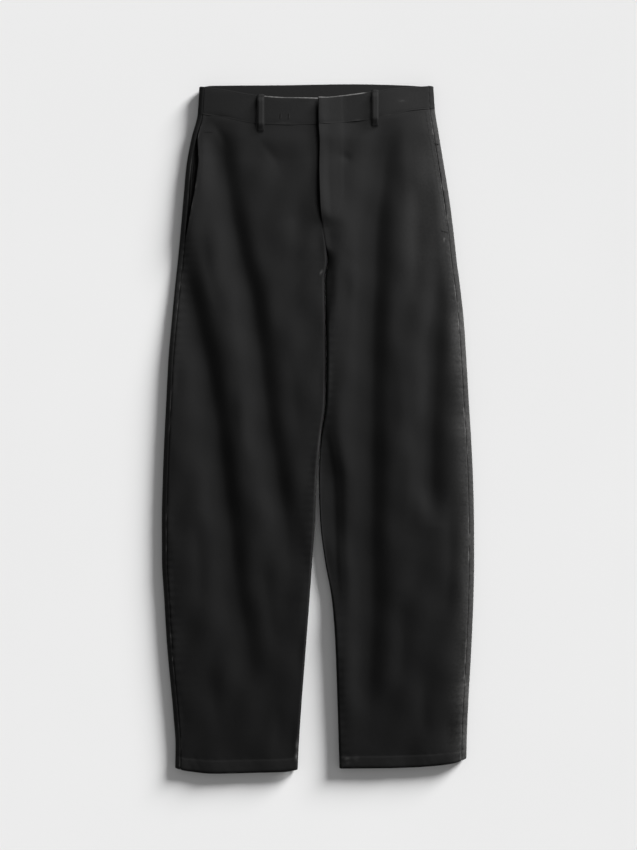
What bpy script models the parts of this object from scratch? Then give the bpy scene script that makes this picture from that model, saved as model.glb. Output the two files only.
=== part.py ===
"""Wide-leg twill trousers, laid flat on their back with the front facing +Z and the waist towards +Y.

Every piece that a maker cuts and sews on is its own solid: a sheet of cloth through a grid of points on
its outer face, given its thickness inwards. Right and left are the wearer's, so the right leg lies on -X.
Units are metres. The lowest faces lie on Z = 0, and the origin is at the middle of the outline.
"""

import math
from collections import namedtuple

import bpy
import numpy as np

# Cloth
TWILL = 0.0015  # one layer of twill, as a wall
BAND_WALL = 0.0026  # the interfaced waistband
LOOP_WALL = 0.0018  # a belt loop, folded in three
SEAM_GAP = 0.0004  # left between two pieces that are sewn to each other

# Section of the flattened tube
EDGE_HEIGHT = 0.0075  # height of the outermost line of each rolled edge
UNDER_ROLL = 0.009  # how far the edge curls in below, before the cloth lies flat
INNER_ROLL = 0.008  # the same above, at the inner leg
SIDE_SEAM = 0.008  # distance of the side seam from the outline
CROSS_ARCH = 0.0015  # how much the front sinks from its middle to its rolls

# Waist
BAND_PROUD = 0.0006  # the waistband stands this far out of the panels below it
WAIST_LIFT = 0.0028  # the back belt loops hold the waist this far off the table
WAIST_LIFT_RUN = 0.050  # length over which the back comes down to the table again
WAIST_LIFT_START = 0.462

# Fly and crotch
CROTCH = 0.254
CROTCH_RUN = 0.060  # length over which the front sinks into the fork
FLY_BOTTOM = 0.314
FLY_LAP = 0.008  # the left front laps over the right front by this much
FLY_LIFT = 0.0031
FLY_LIFT_FLAT = 0.011  # width of the lifted strip
FLY_LIFT_RUN = 0.034  # width over which it comes down
FLY_LIFT_FADE = 0.026  # the same below the fly
FLY_LAP_END = 0.012  # the lap begins this far above the bottom of the fly

# Pockets
POCKET_BOTTOM = 0.286
POCKET_UNDER = 0.014  # how far the facing runs on under the front
POCKET_TUCK = 0.002  # how far it runs on under the back, at the side seam
POCKET_DROP = 0.0023  # from the outer face of the front to that of the facing

# Rows run from one level to the other, and bend with the curved hem and waist seam
HEM_LEVEL = -0.5190
SEAM_LEVEL = 0.4840
TOP_LEVEL = 0.5270
BAND_SHARES = np.array([[0.0], [0.5], [1.0]])  # rows of a waistband, from its seam to its top edge

# Hems
HEM_DEPTH = 0.020
HEM_PROUD = 0.0005
HEM_STEP = 0.0015
EDGE_BLEND = 0.090  # a curved hem or waist seam bends the rows this far into the panel

# Belt loops
LOOP_WIDTH = 0.012
LOOP_ABOVE = 0.002  # above the waistband's top edge
LOOP_BELOW = 0.0125  # below the waistband's seam
LOOP_CLEARANCE = 0.006  # room for a belt under a front loop
LOOP_REST = 0.0007  # gap under the sewn ends, over the step of the waistband
LOOP_RAMP = 0.22  # share of the length in which a front loop rises
FRONT_LOOPS = {"right": -0.0870, "left": 0.0870}
BACK_LOOPS = {"back_right": -0.0800, "back_centre": 0.0030, "back_left": 0.0810}

SIDES = {"right": -1, "left": 1}

# One row for each height at which the outline was measured. Above the crotch, inner is the centre line.
Leg = namedtuple("Leg", "y outer inner crown roll")
LEGS = {
    "right": [
        Leg(0.5270, -0.1814, 0.0005, 0.0155, 0.009),
        Leg(0.4840, -0.1839, 0.0012, 0.0158, 0.010),
        Leg(0.4470, -0.1931, 0.0028, 0.0170, 0.011),
        Leg(0.4030, -0.2012, 0.0022, 0.0182, 0.012),
        Leg(0.3490, -0.2061, 0.0035, 0.0190, 0.013),
        Leg(0.2880, -0.2114, 0.0100, 0.0192, 0.013),
        Leg(0.2540, -0.2147, 0.0148, 0.0192, 0.013),
        Leg(0.2270, -0.2176, 0.0101, 0.0192, 0.013),
        Leg(0.1650, -0.2237, 0.0112, 0.0192, 0.013),
        Leg(0.1040, -0.2290, 0.0118, 0.0192, 0.013),
        Leg(0.0430, -0.2321, 0.0109, 0.0190, 0.013),
        Leg(-0.0180, -0.2352, 0.0032, 0.0188, 0.013),
        Leg(-0.0790, -0.2375, -0.0023, 0.0186, 0.013),
        Leg(-0.1400, -0.2390, -0.0044, 0.0184, 0.013),
        Leg(-0.2020, -0.2387, -0.0087, 0.0182, 0.013),
        Leg(-0.2630, -0.2352, -0.0130, 0.0180, 0.013),
        Leg(-0.3240, -0.2316, -0.0176, 0.0176, 0.013),
        Leg(-0.4460, -0.2206, -0.0269, 0.0166, 0.012),
        Leg(-0.4850, -0.2180, -0.0294, 0.0162, 0.011),
        Leg(-0.5270, -0.2186, -0.0315, 0.0158, 0.011),
    ],
    "left": [
        Leg(0.5270, 0.1764, 0.0005, 0.0155, 0.010),
        Leg(0.4840, 0.1787, 0.0012, 0.0158, 0.013),
        Leg(0.4470, 0.1848, 0.0028, 0.0175, 0.018),
        Leg(0.4030, 0.1925, 0.0022, 0.0190, 0.023),
        Leg(0.3490, 0.2012, 0.0035, 0.0200, 0.026),
        Leg(0.2880, 0.2088, 0.0100, 0.0205, 0.028),
        Leg(0.2540, 0.2125, 0.0152, 0.0205, 0.028),
        Leg(0.2270, 0.2162, 0.0113, 0.0205, 0.028),
        Leg(0.1650, 0.2231, 0.0122, 0.0205, 0.028),
        Leg(0.1040, 0.2272, 0.0128, 0.0205, 0.028),
        Leg(0.0430, 0.2307, 0.0119, 0.0205, 0.028),
        Leg(-0.0180, 0.2345, 0.0044, 0.0204, 0.028),
        Leg(-0.0790, 0.2373, 0.0014, 0.0202, 0.028),
        Leg(-0.1400, 0.2388, 0.0032, 0.0200, 0.027),
        Leg(-0.2020, 0.2390, 0.0105, 0.0198, 0.025),
        Leg(-0.2630, 0.2378, 0.0213, 0.0194, 0.023),
        Leg(-0.3240, 0.2353, 0.0262, 0.0190, 0.021),
        Leg(-0.4460, 0.2289, 0.0306, 0.0175, 0.016),
        Leg(-0.4850, 0.2277, 0.0318, 0.0170, 0.014),
        Leg(-0.5270, 0.2269, 0.0330, 0.0165, 0.014),
    ],
}

# Heights of the cross edges, from the right side to the left
Edge = namedtuple("Edge", "x y")
FRONT_TOP = [
    Edge(-0.1816, 0.5220),
    Edge(-0.1426, 0.5167),
    Edge(-0.0998, 0.5090),
    Edge(-0.0508, 0.5049),
    Edge(0.0058, 0.5044),
    Edge(0.0410, 0.5080),
    Edge(0.0793, 0.5132),
    Edge(0.1252, 0.5194),
    Edge(0.1764, 0.5223),
]
BACK_TOP = [
    Edge(-0.1816, 0.5220),
    Edge(-0.1610, 0.5247),
    Edge(-0.0580, 0.5254),
    Edge(0.0487, 0.5270),
    Edge(0.1250, 0.5254),
    Edge(0.1764, 0.5223),
]
FRONT_SEAM = [
    Edge(-0.1839, 0.4800),
    Edge(-0.1426, 0.4738),
    Edge(-0.0936, 0.4647),
    Edge(-0.0431, 0.4627),
    Edge(0.0058, 0.4642),
    Edge(0.0609, 0.4685),
    Edge(0.1022, 0.4754),
    Edge(0.1481, 0.4853),
    Edge(0.1787, 0.4876),
]
BACK_SEAM = [
    Edge(-0.1839, 0.4800),
    Edge(-0.1000, 0.4835),
    Edge(0.0030, 0.4850),
    Edge(0.1000, 0.4862),
    Edge(0.1787, 0.4876),
]
HEMS = {
    "right": [
        Edge(-0.2186, -0.5191),
        Edge(-0.1961, -0.5240),
        Edge(-0.1579, -0.5270),
        Edge(-0.0967, -0.5258),
        Edge(-0.0523, -0.5245),
        Edge(-0.0315, -0.5214),
    ],
    "left": [
        Edge(0.0330, -0.5193),
        Edge(0.0854, -0.5188),
        Edge(0.1328, -0.5179),
        Edge(0.1772, -0.5153),
        Edge(0.2093, -0.5107),
        Edge(0.2269, -0.5046),
    ],
}

# Distance of the pocket's edge from the outline, and how far the edge stands open
Pocket = namedtuple("Pocket", "y inset gape")
POCKETS = {
    "right": [
        Pocket(0.4880, 0.0084, 0.0000),
        Pocket(0.4470, 0.0102, 0.0008),
        Pocket(0.4250, 0.0150, 0.0022),
        Pocket(0.4030, 0.0190, 0.0026),
        Pocket(0.3720, 0.0180, 0.0022),
        Pocket(0.3380, 0.0145, 0.0014),
        Pocket(0.3100, 0.0115, 0.0005),
        Pocket(0.2860, 0.0084, 0.0000),
    ],
    "left": [
        Pocket(0.4880, 0.0084, 0.0000),
        Pocket(0.4470, 0.0095, 0.0004),
        Pocket(0.4030, 0.0112, 0.0010),
        Pocket(0.3490, 0.0124, 0.0010),
        Pocket(0.3100, 0.0110, 0.0004),
        Pocket(0.2860, 0.0084, 0.0000),
    ],
}
GAPE_RUN = 0.030  # the front falls back to its place this far from the pocket's edge

# The main folds: troughs that run down a front. Each row is a place on the trough's lowest line.
Fold = namedtuple("Fold", "leg width_out width_in line")
Trough = namedtuple("Trough", "y x depth")
HIP_FOLD_RIGHT = [
    Trough(0.478, -0.153, 0.0000),
    Trough(0.420, -0.147, 0.0075),
    Trough(0.349, -0.137, 0.0110),
    Trough(0.273, -0.121, 0.0125),
    Trough(0.190, -0.101, 0.0125),
    Trough(0.043, -0.082, 0.0110),
    Trough(-0.110, -0.058, 0.0090),
    Trough(-0.180, -0.048, 0.0050),
    Trough(-0.250, -0.044, 0.0000),
]
THIGH_FOLD_RIGHT = [
    Trough(0.310, -0.213, 0.0000),
    Trough(0.250, -0.205, 0.0080),
    Trough(0.166, -0.187, 0.0120),
    Trough(0.043, -0.162, 0.0135),
    Trough(-0.110, -0.142, 0.0125),
    Trough(-0.248, -0.126, 0.0090),
    Trough(-0.340, -0.110, 0.0045),
    Trough(-0.430, -0.100, 0.0000),
]
CROTCH_FOLD_RIGHT = [
    Trough(0.380, -0.028, 0.0000),
    Trough(0.300, -0.030, 0.0028),
    Trough(0.200, -0.030, 0.0024),
    Trough(0.120, -0.028, 0.0000),
]
LONG_FOLD_LEFT = [
    Trough(0.478, 0.116, 0.0000),
    Trough(0.440, 0.105, 0.0055),
    Trough(0.380, 0.097, 0.0115),
    Trough(0.319, 0.089, 0.0140),
    Trough(0.200, 0.084, 0.0145),
    Trough(-0.033, 0.080, 0.0140),
    Trough(-0.263, 0.080, 0.0110),
    Trough(-0.380, 0.076, 0.0065),
    Trough(-0.490, 0.072, 0.0000),
]
KNEE_FOLD_LEFT = [
    Trough(0.260, 0.181, 0.0000),
    Trough(0.200, 0.181, 0.0050),
    Trough(0.100, 0.177, 0.0075),
    Trough(0.000, 0.172, 0.0090),
    Trough(-0.079, 0.170, 0.0080),
    Trough(-0.150, 0.178, 0.0000),
]
POCKET_FOLD_LEFT = [
    Trough(0.380, 0.150, 0.0000),
    Trough(0.330, 0.150, 0.0028),
    Trough(0.240, 0.150, 0.0028),
    Trough(0.190, 0.150, 0.0000),
]
INNER_SHELF_LEFT = [
    Trough(0.080, 0.0165, 0.0000),
    Trough(0.040, 0.0165, 0.0030),
    Trough(0.000, 0.0145, 0.0052),
    Trough(-0.033, 0.0200, 0.0065),
    Trough(-0.079, 0.0265, 0.0092),
    Trough(-0.140, 0.0290, 0.0092),
    Trough(-0.200, 0.0310, 0.0076),
    Trough(-0.245, 0.0335, 0.0055),
    Trough(-0.300, 0.0360, 0.0000),
]
CROTCH_DIP_LEFT = [
    Trough(0.276, 0.0180, 0.0000),
    Trough(0.240, 0.0175, 0.0050),
    Trough(0.200, 0.0170, 0.0055),
    Trough(0.168, 0.0160, 0.0025),
    Trough(0.145, 0.0160, 0.0000),
]
FOLDS = [
    Fold("right", 0.026, 0.018, HIP_FOLD_RIGHT),
    Fold("right", 0.030, 0.019, THIGH_FOLD_RIGHT),
    Fold("right", 0.014, 0.014, CROTCH_FOLD_RIGHT),
    Fold("left", 0.019, 0.032, LONG_FOLD_LEFT),
    Fold("left", 0.016, 0.018, KNEE_FOLD_LEFT),
    Fold("left", 0.014, 0.014, POCKET_FOLD_LEFT),
    Fold("left", 0.012, 0.034, INNER_SHELF_LEFT),
    Fold("left", 0.008, 0.010, CROTCH_DIP_LEFT),
]
LEAST_HEIGHT = 0.0055  # no fold sinks the front's outer face below this

# Fineness of the grids
ROW_STEP = 0.037
FRONT_FIRST = (0.0, 0.0015, 0.006, 0.013)  # columns of the front, from its outer edge
FRONT_COLUMNS = 13
ABOVE_COLUMNS = (0.0, 0.0015, 0.0045, 0.0068)  # columns of the back, from the side seam outwards
ROLL_COLUMNS = 4
UNDER_COLUMNS = 4
FACING_COLUMNS = 6
LOOP_ROWS = 12
ROLLED_EDGE = 0.0012  # height of the last strip at a rolled seam, so that both edges meet square
FLAT_EDGE = 0.0005  # its width at a flat seam

BLACK_TWILL = (0.018, 0.018, 0.019, 1.0)


def smooth_step(t):
    t = np.clip(t, 0.0, 1.0)
    return t * t * (3.0 - 2.0 * t)


def through(rows, along, value, at):
    """A smooth curve through two columns of a table, which never swings past the rows it joins."""
    points = sorted((getattr(row, along), getattr(row, value)) for row in rows)
    xs, ys = np.array(points).T
    step = np.diff(xs)
    slope = np.diff(ys) / step
    tangent = np.zeros_like(ys)
    tangent[0], tangent[-1] = slope[0], slope[-1]
    before, after = slope[:-1], slope[1:]
    same_way = before * after > 0
    weight_before = 2.0 * step[1:] + step[:-1]
    weight_after = step[1:] + 2.0 * step[:-1]
    mean = np.zeros_like(before)
    mean[same_way] = (weight_before + weight_after)[same_way] / (
        weight_before[same_way] / before[same_way]
        + weight_after[same_way] / after[same_way]
    )
    tangent[1:-1] = mean
    at = np.clip(np.asarray(at, float), xs[0], xs[-1])
    i = np.clip(np.searchsorted(xs, at) - 1, 0, len(step) - 1)
    t = (at - xs[i]) / step[i]
    start = ys[i] * (1 + 2 * t) * (1 - t) ** 2 + step[i] * tangent[i] * t * (1 - t) ** 2
    end = ys[i + 1] * t * t * (3 - 2 * t) + step[i] * tangent[i + 1] * t * t * (t - 1)
    return start + end


def outer_edge(side, y):
    return through(LEGS[side], "y", "outer", y)


def inner_edge(side, y):
    return through(LEGS[side], "y", "inner", y)


def roll_width(side, y):
    return through(LEGS[side], "y", "roll", y)


def waist_lift(y):
    """The waist lies on the back belt loops, and the back sinks to the table below it."""
    return WAIST_LIFT * smooth_step((y - WAIST_LIFT_START) / WAIST_LIFT_RUN + 1.0)


def fork(y):
    """0 across the hips, where both legs are one tube, and 1 from the crotch down."""
    return smooth_step((CROTCH + CROTCH_RUN - y) / CROTCH_RUN)


def fold_depth(side, x, y):
    """Sum of the troughs at a point: each follows its line and has a bell-shaped section."""
    depth = np.zeros(np.broadcast(x, y).shape)
    for fold in FOLDS:
        if fold.leg != side:
            continue
        outwards = SIDES[side] * (x - through(fold.line, "y", "x", y))
        width = np.where(outwards > 0.0, fold.width_out, fold.width_in)
        depth += through(fold.line, "y", "depth", y) * np.exp(-((outwards / width) ** 2))
    return depth


def front_height(side, x, y):
    """Height of the front's outer face: a crown with folds, rolled down at the side and inner leg."""
    outer, inner = outer_edge(side, y), inner_edge(side, y)
    across = np.clip((x - outer) / (inner - outer), 0.0, 1.0)
    crown = through(LEGS[side], "y", "crown", y)
    arch = CROSS_ARCH * (2.0 * across - 1.0) ** 2 * np.where(across > 0.5, fork(y), 1.0)
    top = np.maximum(crown - arch - fold_depth(side, x, y), LEAST_HEIGHT)
    from_outer = np.clip(np.abs(x - outer) / roll_width(side, y), 0.0, 1.0)
    from_inner = np.clip(SIDES[side] * (x - inner) / INNER_ROLL, 0.0, 1.0)
    outer_rise = np.sqrt(1.0 - (1.0 - from_outer) ** 2)
    inner_rise = np.sqrt(1.0 - (1.0 - from_inner) ** 2)
    rise = outer_rise * (1.0 - fork(y) * (1.0 - inner_rise))
    return EDGE_HEIGHT + (top - EDGE_HEIGHT) * rise + waist_lift(y)


def fly_lift(y, x):
    """The left front lies on the lap of the right front, and comes down beside it."""
    from_edge = x - inner_edge("left", y)
    down = smooth_step((y - FLY_BOTTOM + FLY_LIFT_FADE) / FLY_LIFT_FADE)
    return FLY_LIFT * down * (1.0 - smooth_step((from_edge - FLY_LIFT_FLAT) / FLY_LIFT_RUN))


def pocket_gape(side, x, y):
    """How far the front stands off its facing beside the pocket's edge."""
    edge = front_start(side, y)
    gape = through(POCKETS[side], "y", "gape", y)
    return gape * (1.0 - smooth_step(np.abs(x - edge) / GAPE_RUN))


def front_start(side, y):
    """Where the front begins: at the side seam, or further in, at the pocket's edge."""
    inset = through(POCKETS[side], "y", "inset", y)
    return outer_edge(side, y) - SIDES[side] * np.maximum(inset, SIDE_SEAM + SEAM_GAP / 2)


def half_seam(side, y):
    """The inner leg, and above the crotch this side's half of the centre seam."""
    return inner_edge(side, y) + SIDES[side] * SEAM_GAP / 2


def front_end(side, y):
    """Where the front ends: at its half of the centre seam or, on the right of the fly, under the lap."""
    edge = half_seam(side, y)
    if side == "left":
        return edge
    lap = smooth_step((y - FLY_BOTTOM) / FLY_LAP_END)
    return edge + (FLY_LAP + SEAM_GAP) * lap


def row_levels():
    """The heights of every panel's rows: evenly spaced, with closer ones where the form changes."""
    count = round((SEAM_LEVEL - HEM_LEVEL) / ROW_STEP)
    even = [HEM_LEVEL + (SEAM_LEVEL - HEM_LEVEL) * i / count for i in range(1, count)]
    extra = [
        HEM_LEVEL + HEM_DEPTH,
        HEM_LEVEL + HEM_DEPTH + HEM_STEP,
        CROTCH,
        CROTCH + CROTCH_RUN / 3,
        CROTCH + 2 * CROTCH_RUN / 3,
        FLY_BOTTOM,
        FLY_BOTTOM + FLY_LAP_END,
        WAIST_LIFT_START,
        WAIST_LIFT_START - WAIST_LIFT_RUN / 2,
        POCKETS["right"][2].y,
        POCKETS["right"][3].y,
    ]
    kept = [y for y in even if all(abs(y - other) > 0.4 * ROW_STEP for other in extra)]
    return np.array(sorted([HEM_LEVEL, SEAM_LEVEL, *kept, *extra]))[:, None]


def bend_rows(side, y, x, seam):
    """Moves the straight rows so that the first follows the hem and the last the waist seam."""
    to_hem = np.clip(1.0 - (y - HEM_LEVEL) / EDGE_BLEND, 0.0, 1.0)
    to_seam = np.clip(1.0 - (SEAM_LEVEL - y) / EDGE_BLEND, 0.0, 1.0)
    down = through(HEMS[side], "x", "y", x) - HEM_LEVEL
    up = through(seam, "x", "y", x) - SEAM_GAP / 2 - SEAM_LEVEL
    return y + to_hem * down + to_seam * up


def cloth(name, points, wall, flip, folder):
    """One piece of cloth: the grid's rows run up, its columns run to the right as seen from outside."""
    if flip:
        points = points[:, ::-1]
    rows, columns = points.shape[:2]
    index = np.arange(rows * columns).reshape(rows, columns)
    corners = (index[:-1, :-1], index[:-1, 1:], index[1:, 1:], index[1:, :-1])
    faces = np.stack(corners, axis=-1).reshape(-1, 4)
    mesh = bpy.data.meshes.new(name)
    mesh.from_pydata(points.reshape(-1, 3).tolist(), [], faces.tolist())
    mesh.shade_smooth()
    piece = bpy.data.objects.new(name, mesh)
    folder.objects.link(piece)
    thickness = piece.modifiers.new("wall", "SOLIDIFY")
    thickness.thickness = wall
    thickness.offset = -1.0
    thickness.use_even_offset = True
    thickness.use_quality_normals = True
    piece.data.materials.append(twill_material(name))
    return piece


def twill_material(name):
    material = bpy.data.materials.new(name)
    material.use_nodes = True
    shader = material.node_tree.nodes["Principled BSDF"]
    shader.inputs["Base Color"].default_value = BLACK_TWILL
    shader.inputs["Roughness"].default_value = 0.9
    shader.inputs["Metallic"].default_value = 0.0
    return material


def front_columns(side, nominal):
    """The front's columns, from the side seam or pocket to the centre seam or inner leg, and its roll."""
    inwards = -SIDES[side]
    start = front_start(side, nominal)
    end = front_end(side, nominal)
    first = start + inwards * np.array(FRONT_FIRST)
    roll_start = end - inwards * INNER_ROLL
    flat = first[:, -1:] + (roll_start - first[:, -1:]) * np.linspace(0.0, 1.0, FRONT_COLUMNS)[1:]
    angle = np.linspace(math.pi / 2, 0.0, ROLL_COLUMNS + 1)[1:-1]
    roll = end - inwards * INNER_ROLL * (1.0 - np.cos(angle))
    last = np.hstack([end - inwards * FLAT_EDGE * (1.0 - fork(nominal)), end])
    return np.hstack([first, flat, roll, last])


def front_panel(side, folder):
    """From the side seam or pocket to the centre seam or inner leg, and from the hem to the waistband."""
    nominal = row_levels()
    x = front_columns(side, nominal)
    y = np.repeat(nominal, x.shape[1], axis=1)
    z = front_height(side, x, y) + pocket_gape(side, x, y)
    if side == "left":
        z = z + fly_lift(y, x)
    z = z + HEM_PROUD * (y < HEM_LEVEL + HEM_DEPTH + SEAM_GAP)
    z[:, -1:] += SEAM_GAP / 2
    z[:, -2:-1] += SEAM_GAP / 2 + ROLLED_EDGE * fork(nominal)
    y = bend_rows(side, y, x, FRONT_SEAM)
    points = np.stack([x, y, z], axis=-1)
    return cloth(f"front_panel_{side}", points, TWILL, SIDES[side] > 0, folder)


def under_section(side, nominal):
    """The tube's outer face from the side seam round the outline and under, to the inner leg or centre."""
    outward = SIDES[side]
    outer = outer_edge(side, nominal)
    inner = half_seam(side, nominal)
    lift = waist_lift(nominal)
    x_above = outer - outward * (SIDE_SEAM - SEAM_GAP / 2 - np.array(ABOVE_COLUMNS))
    z_above = front_height(side, x_above, nominal)
    angle = np.linspace(0.0, math.pi / 2, ROLL_COLUMNS)
    x_outer = outer - outward * UNDER_ROLL * (1.0 - np.cos(angle))
    z_outer = EDGE_HEIGHT * (1.0 - np.sin(angle)) + lift
    x_inner = inner + outward * UNDER_ROLL * (1.0 - np.cos(angle[:0:-1]))
    z_inner = EDGE_HEIGHT * (1.0 - np.sin(angle[:0:-1])) * fork(nominal) + lift
    x_last = np.hstack([inner + outward * FLAT_EDGE * (1.0 - fork(nominal)), inner])
    z_last = (EDGE_HEIGHT - SEAM_GAP / 2 - np.array([ROLLED_EDGE, 0.0])) * fork(nominal) + lift
    share = np.linspace(0.0, 1.0, UNDER_COLUMNS)[1:-1]
    x_flat = x_outer[:, -1:] + (x_inner[:, :1] - x_outer[:, -1:]) * share
    z_flat = np.zeros_like(x_flat) + lift
    x = np.hstack([x_above, x_outer, x_flat, x_inner, x_last])
    z = np.hstack([z_above, z_outer, z_flat, z_inner, z_last])
    below = np.ones(x.shape[1])
    below[: len(ABOVE_COLUMNS)] = 0.0
    below[len(ABOVE_COLUMNS) : len(ABOVE_COLUMNS) + ROLL_COLUMNS] = np.sin(angle)
    return x, z, below


def back_panel(side, folder):
    """From the side seam round the outer edge and along the table, to the centre seam or inner leg."""
    nominal = row_levels()
    x, z, below = under_section(side, nominal)
    y = np.repeat(nominal, x.shape[1], axis=1)
    front = bend_rows(side, y, x, FRONT_SEAM)
    back = bend_rows(side, y, x, BACK_SEAM)
    points = np.stack([x, front + (back - front) * below, z], axis=-1)
    return cloth(f"back_panel_{side}", points, TWILL, SIDES[side] < 0, folder)


def pocket_facing(side, folder):
    """The strip that shows inside the slanted pocket, and runs on a little way under the front."""
    outward = SIDES[side]
    nominal = row_levels()
    nominal = nominal[nominal[:, 0] > POCKET_BOTTOM]
    first = SIDE_SEAM - POCKET_TUCK
    last = np.abs(front_start(side, nominal) - outer_edge(side, nominal)) + POCKET_UNDER
    inset = first + (last - first) * np.linspace(0.0, 1.0, FACING_COLUMNS)
    x = outer_edge(side, nominal) - outward * inset
    y = np.repeat(nominal, x.shape[1], axis=1)
    z = front_height(side, x, y) - POCKET_DROP
    y = bend_rows(side, y, x, FRONT_SEAM)
    points = np.stack([x, y, z], axis=-1)
    return cloth(f"pocket_facing_{side}", points, TWILL, outward > 0, folder)


def band_levels():
    return SEAM_LEVEL + (TOP_LEVEL - SEAM_LEVEL) * BAND_SHARES


def front_band(side, folder):
    """Half of the front waistband, from the side seam to the fly, with the columns of its panel."""
    seam_columns = front_columns(side, np.array([[SEAM_LEVEL]]))
    share = (seam_columns - seam_columns[0, -1]) / (seam_columns[0, 0] - seam_columns[0, -1])
    x = seam_columns + (outer_edge(side, band_levels()) - outer_edge(side, SEAM_LEVEL)) * share
    low = through(FRONT_SEAM, "x", "y", x) + SEAM_GAP / 2
    y = low + (through(FRONT_TOP, "x", "y", x) - low) * BAND_SHARES
    z = front_height(side, x, y) + BAND_PROUD
    if side == "left":
        z = z + fly_lift(y, x)
    points = np.stack([x, y, z], axis=-1)
    return cloth(f"waistband_front_{side}", points, BAND_WALL, SIDES[side] > 0, folder)


def back_band(folder):
    """The back waistband: one piece from side seam to side seam, lying on its belt loops."""
    right = under_section("right", band_levels())
    left = under_section("left", band_levels())
    x = np.hstack([right[0][:, :-2], left[0][:, -3::-1]])
    z = np.hstack([right[1][:, :-2], left[1][:, -3::-1]])
    below = np.hstack([right[2][:-2], left[2][-3::-1]])
    low = through(FRONT_SEAM, "x", "y", x) * (1 - below) + through(BACK_SEAM, "x", "y", x) * below
    high = through(FRONT_TOP, "x", "y", x) * (1 - below) + through(BACK_TOP, "x", "y", x) * below
    low = low + SEAM_GAP / 2
    proud = BAND_PROUD * np.where(below > 0.0, -below, 1.0)
    points = np.stack([x, low + (high - low) * BAND_SHARES, z + proud], axis=-1)
    return cloth("waistband_back", points, BAND_WALL, True, folder)


def front_loop(side, folder):
    """A belt loop that stands off the waistband, sewn down above and below it."""
    centre = FRONT_LOOPS[side]
    bottom = float(through(FRONT_SEAM, "x", "y", centre)) - LOOP_BELOW
    top = float(through(FRONT_TOP, "x", "y", centre)) + LOOP_ABOVE
    share = np.linspace(0.0, 1.0, LOOP_ROWS + 1)[:, None]
    x = centre + LOOP_WIDTH * np.array([[-0.5, 0.0, 0.5]])
    y = bottom + (top - bottom) * share
    x, y = np.broadcast_arrays(x, y)
    arch = smooth_step(share / LOOP_RAMP) * smooth_step((1.0 - share) / LOOP_RAMP)
    under = front_height(side, x, y) + BAND_PROUD
    gap = LOOP_REST + (LOOP_CLEARANCE - LOOP_REST) * arch
    points = np.stack([x, y, under + gap + LOOP_WALL], axis=-1)
    return cloth(f"belt_loop_front_{side}", points, LOOP_WALL, False, folder)


def back_loop(name, centre, folder):
    """A belt loop pressed flat between the table and the back waistband."""
    bottom = float(through(BACK_SEAM, "x", "y", centre)) - LOOP_BELOW
    top = float(through(BACK_TOP, "x", "y", centre))
    bpy.ops.mesh.primitive_cube_add(size=1.0)
    loop = bpy.context.active_object
    loop.name = f"belt_loop_{name}"
    loop.scale = (LOOP_WIDTH, top - bottom, LOOP_WALL)
    loop.location = (centre, 0.5 * (top + bottom), 0.5 * LOOP_WALL)
    bpy.ops.object.transform_apply(location=False, rotation=False, scale=True)
    for other in loop.users_collection:
        other.objects.unlink(loop)
    folder.objects.link(loop)
    loop.data.materials.append(twill_material(loop.name))
    return loop


def build():
    for old in list(bpy.data.objects):
        bpy.data.objects.remove(old)
    folder = bpy.data.collections.new("trousers")
    bpy.context.scene.collection.children.link(folder)
    for side in SIDES:
        front_panel(side, folder)
        back_panel(side, folder)
        pocket_facing(side, folder)
        front_band(side, folder)
        front_loop(side, folder)
    back_band(folder)
    for name, centre in BACK_LOOPS.items():
        back_loop(name, centre, folder)


build()
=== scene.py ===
"""Wide-leg black twill trousers, laid flat with the front up: the cloth, the sewing and the studio.

Every piece of cloth is a thin shell on the form of its solid in the frame, with the finer creases, puckers
and hems that the solid leaves out. Right and left are the wearer's, so the right leg lies on -X.
Units are metres, +Z is up, +Y points to the waist.
"""

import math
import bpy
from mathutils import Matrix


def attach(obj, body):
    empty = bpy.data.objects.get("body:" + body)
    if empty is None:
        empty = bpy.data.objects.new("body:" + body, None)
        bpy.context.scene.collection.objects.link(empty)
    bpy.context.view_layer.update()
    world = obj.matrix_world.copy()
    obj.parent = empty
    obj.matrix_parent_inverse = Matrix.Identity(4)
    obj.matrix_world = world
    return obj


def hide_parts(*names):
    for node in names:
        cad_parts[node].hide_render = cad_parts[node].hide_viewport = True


bl_info = {
    "name": "Wide-leg twill trousers",
    "version": (1, 0, 0),
    "blender": (4, 5, 0),
    "location": "View3D > Sidebar > Trousers",
    "description": "Builds the cloth, the sewing and the studio of a pair of trousers laid flat",
    "category": "Object",
}

from collections import namedtuple
from functools import partial

import bpy
import numpy as np
from bpy.props import FloatProperty, FloatVectorProperty, PointerProperty
from mathutils import Vector

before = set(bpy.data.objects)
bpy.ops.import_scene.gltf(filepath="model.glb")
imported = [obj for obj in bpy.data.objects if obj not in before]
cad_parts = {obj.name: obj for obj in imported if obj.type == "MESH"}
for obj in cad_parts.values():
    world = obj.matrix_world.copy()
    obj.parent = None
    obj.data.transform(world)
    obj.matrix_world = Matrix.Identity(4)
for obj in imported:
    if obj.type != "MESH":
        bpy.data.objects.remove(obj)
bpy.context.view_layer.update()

# The form of the trousers, as the solids in the frame have it
EDGE_HEIGHT = 0.0075  # height of the outermost line of each rolled edge
UNDER_ROLL = 0.009  # how far the edge curls in below, before the cloth lies flat
SIDE_SEAM = 0.008  # distance of the side seam from the outline
CROSS_ARCH = 0.0015  # how much the front sinks from its middle to its rolls
BAND_PROUD = 0.0006  # the waistband stands this far out of the panels below it
WAIST_LIFT = 0.0028  # the back belt loops hold the waist this far off the table
WAIST_LIFT_RUN = 0.050
WAIST_LIFT_START = 0.462
CROTCH = 0.250
CROTCH_RUN = 0.030
FLY_BOTTOM = 0.314
FLY_LAP = 0.008
FLY_LIFT = 0.0031
FLY_LIFT_FLAT = 0.011
FLY_LIFT_RUN = 0.034
FLY_LIFT_FADE = 0.022
FLY_LIFT_START = 0.010  # the lift begins this far below the fly's end
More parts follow.
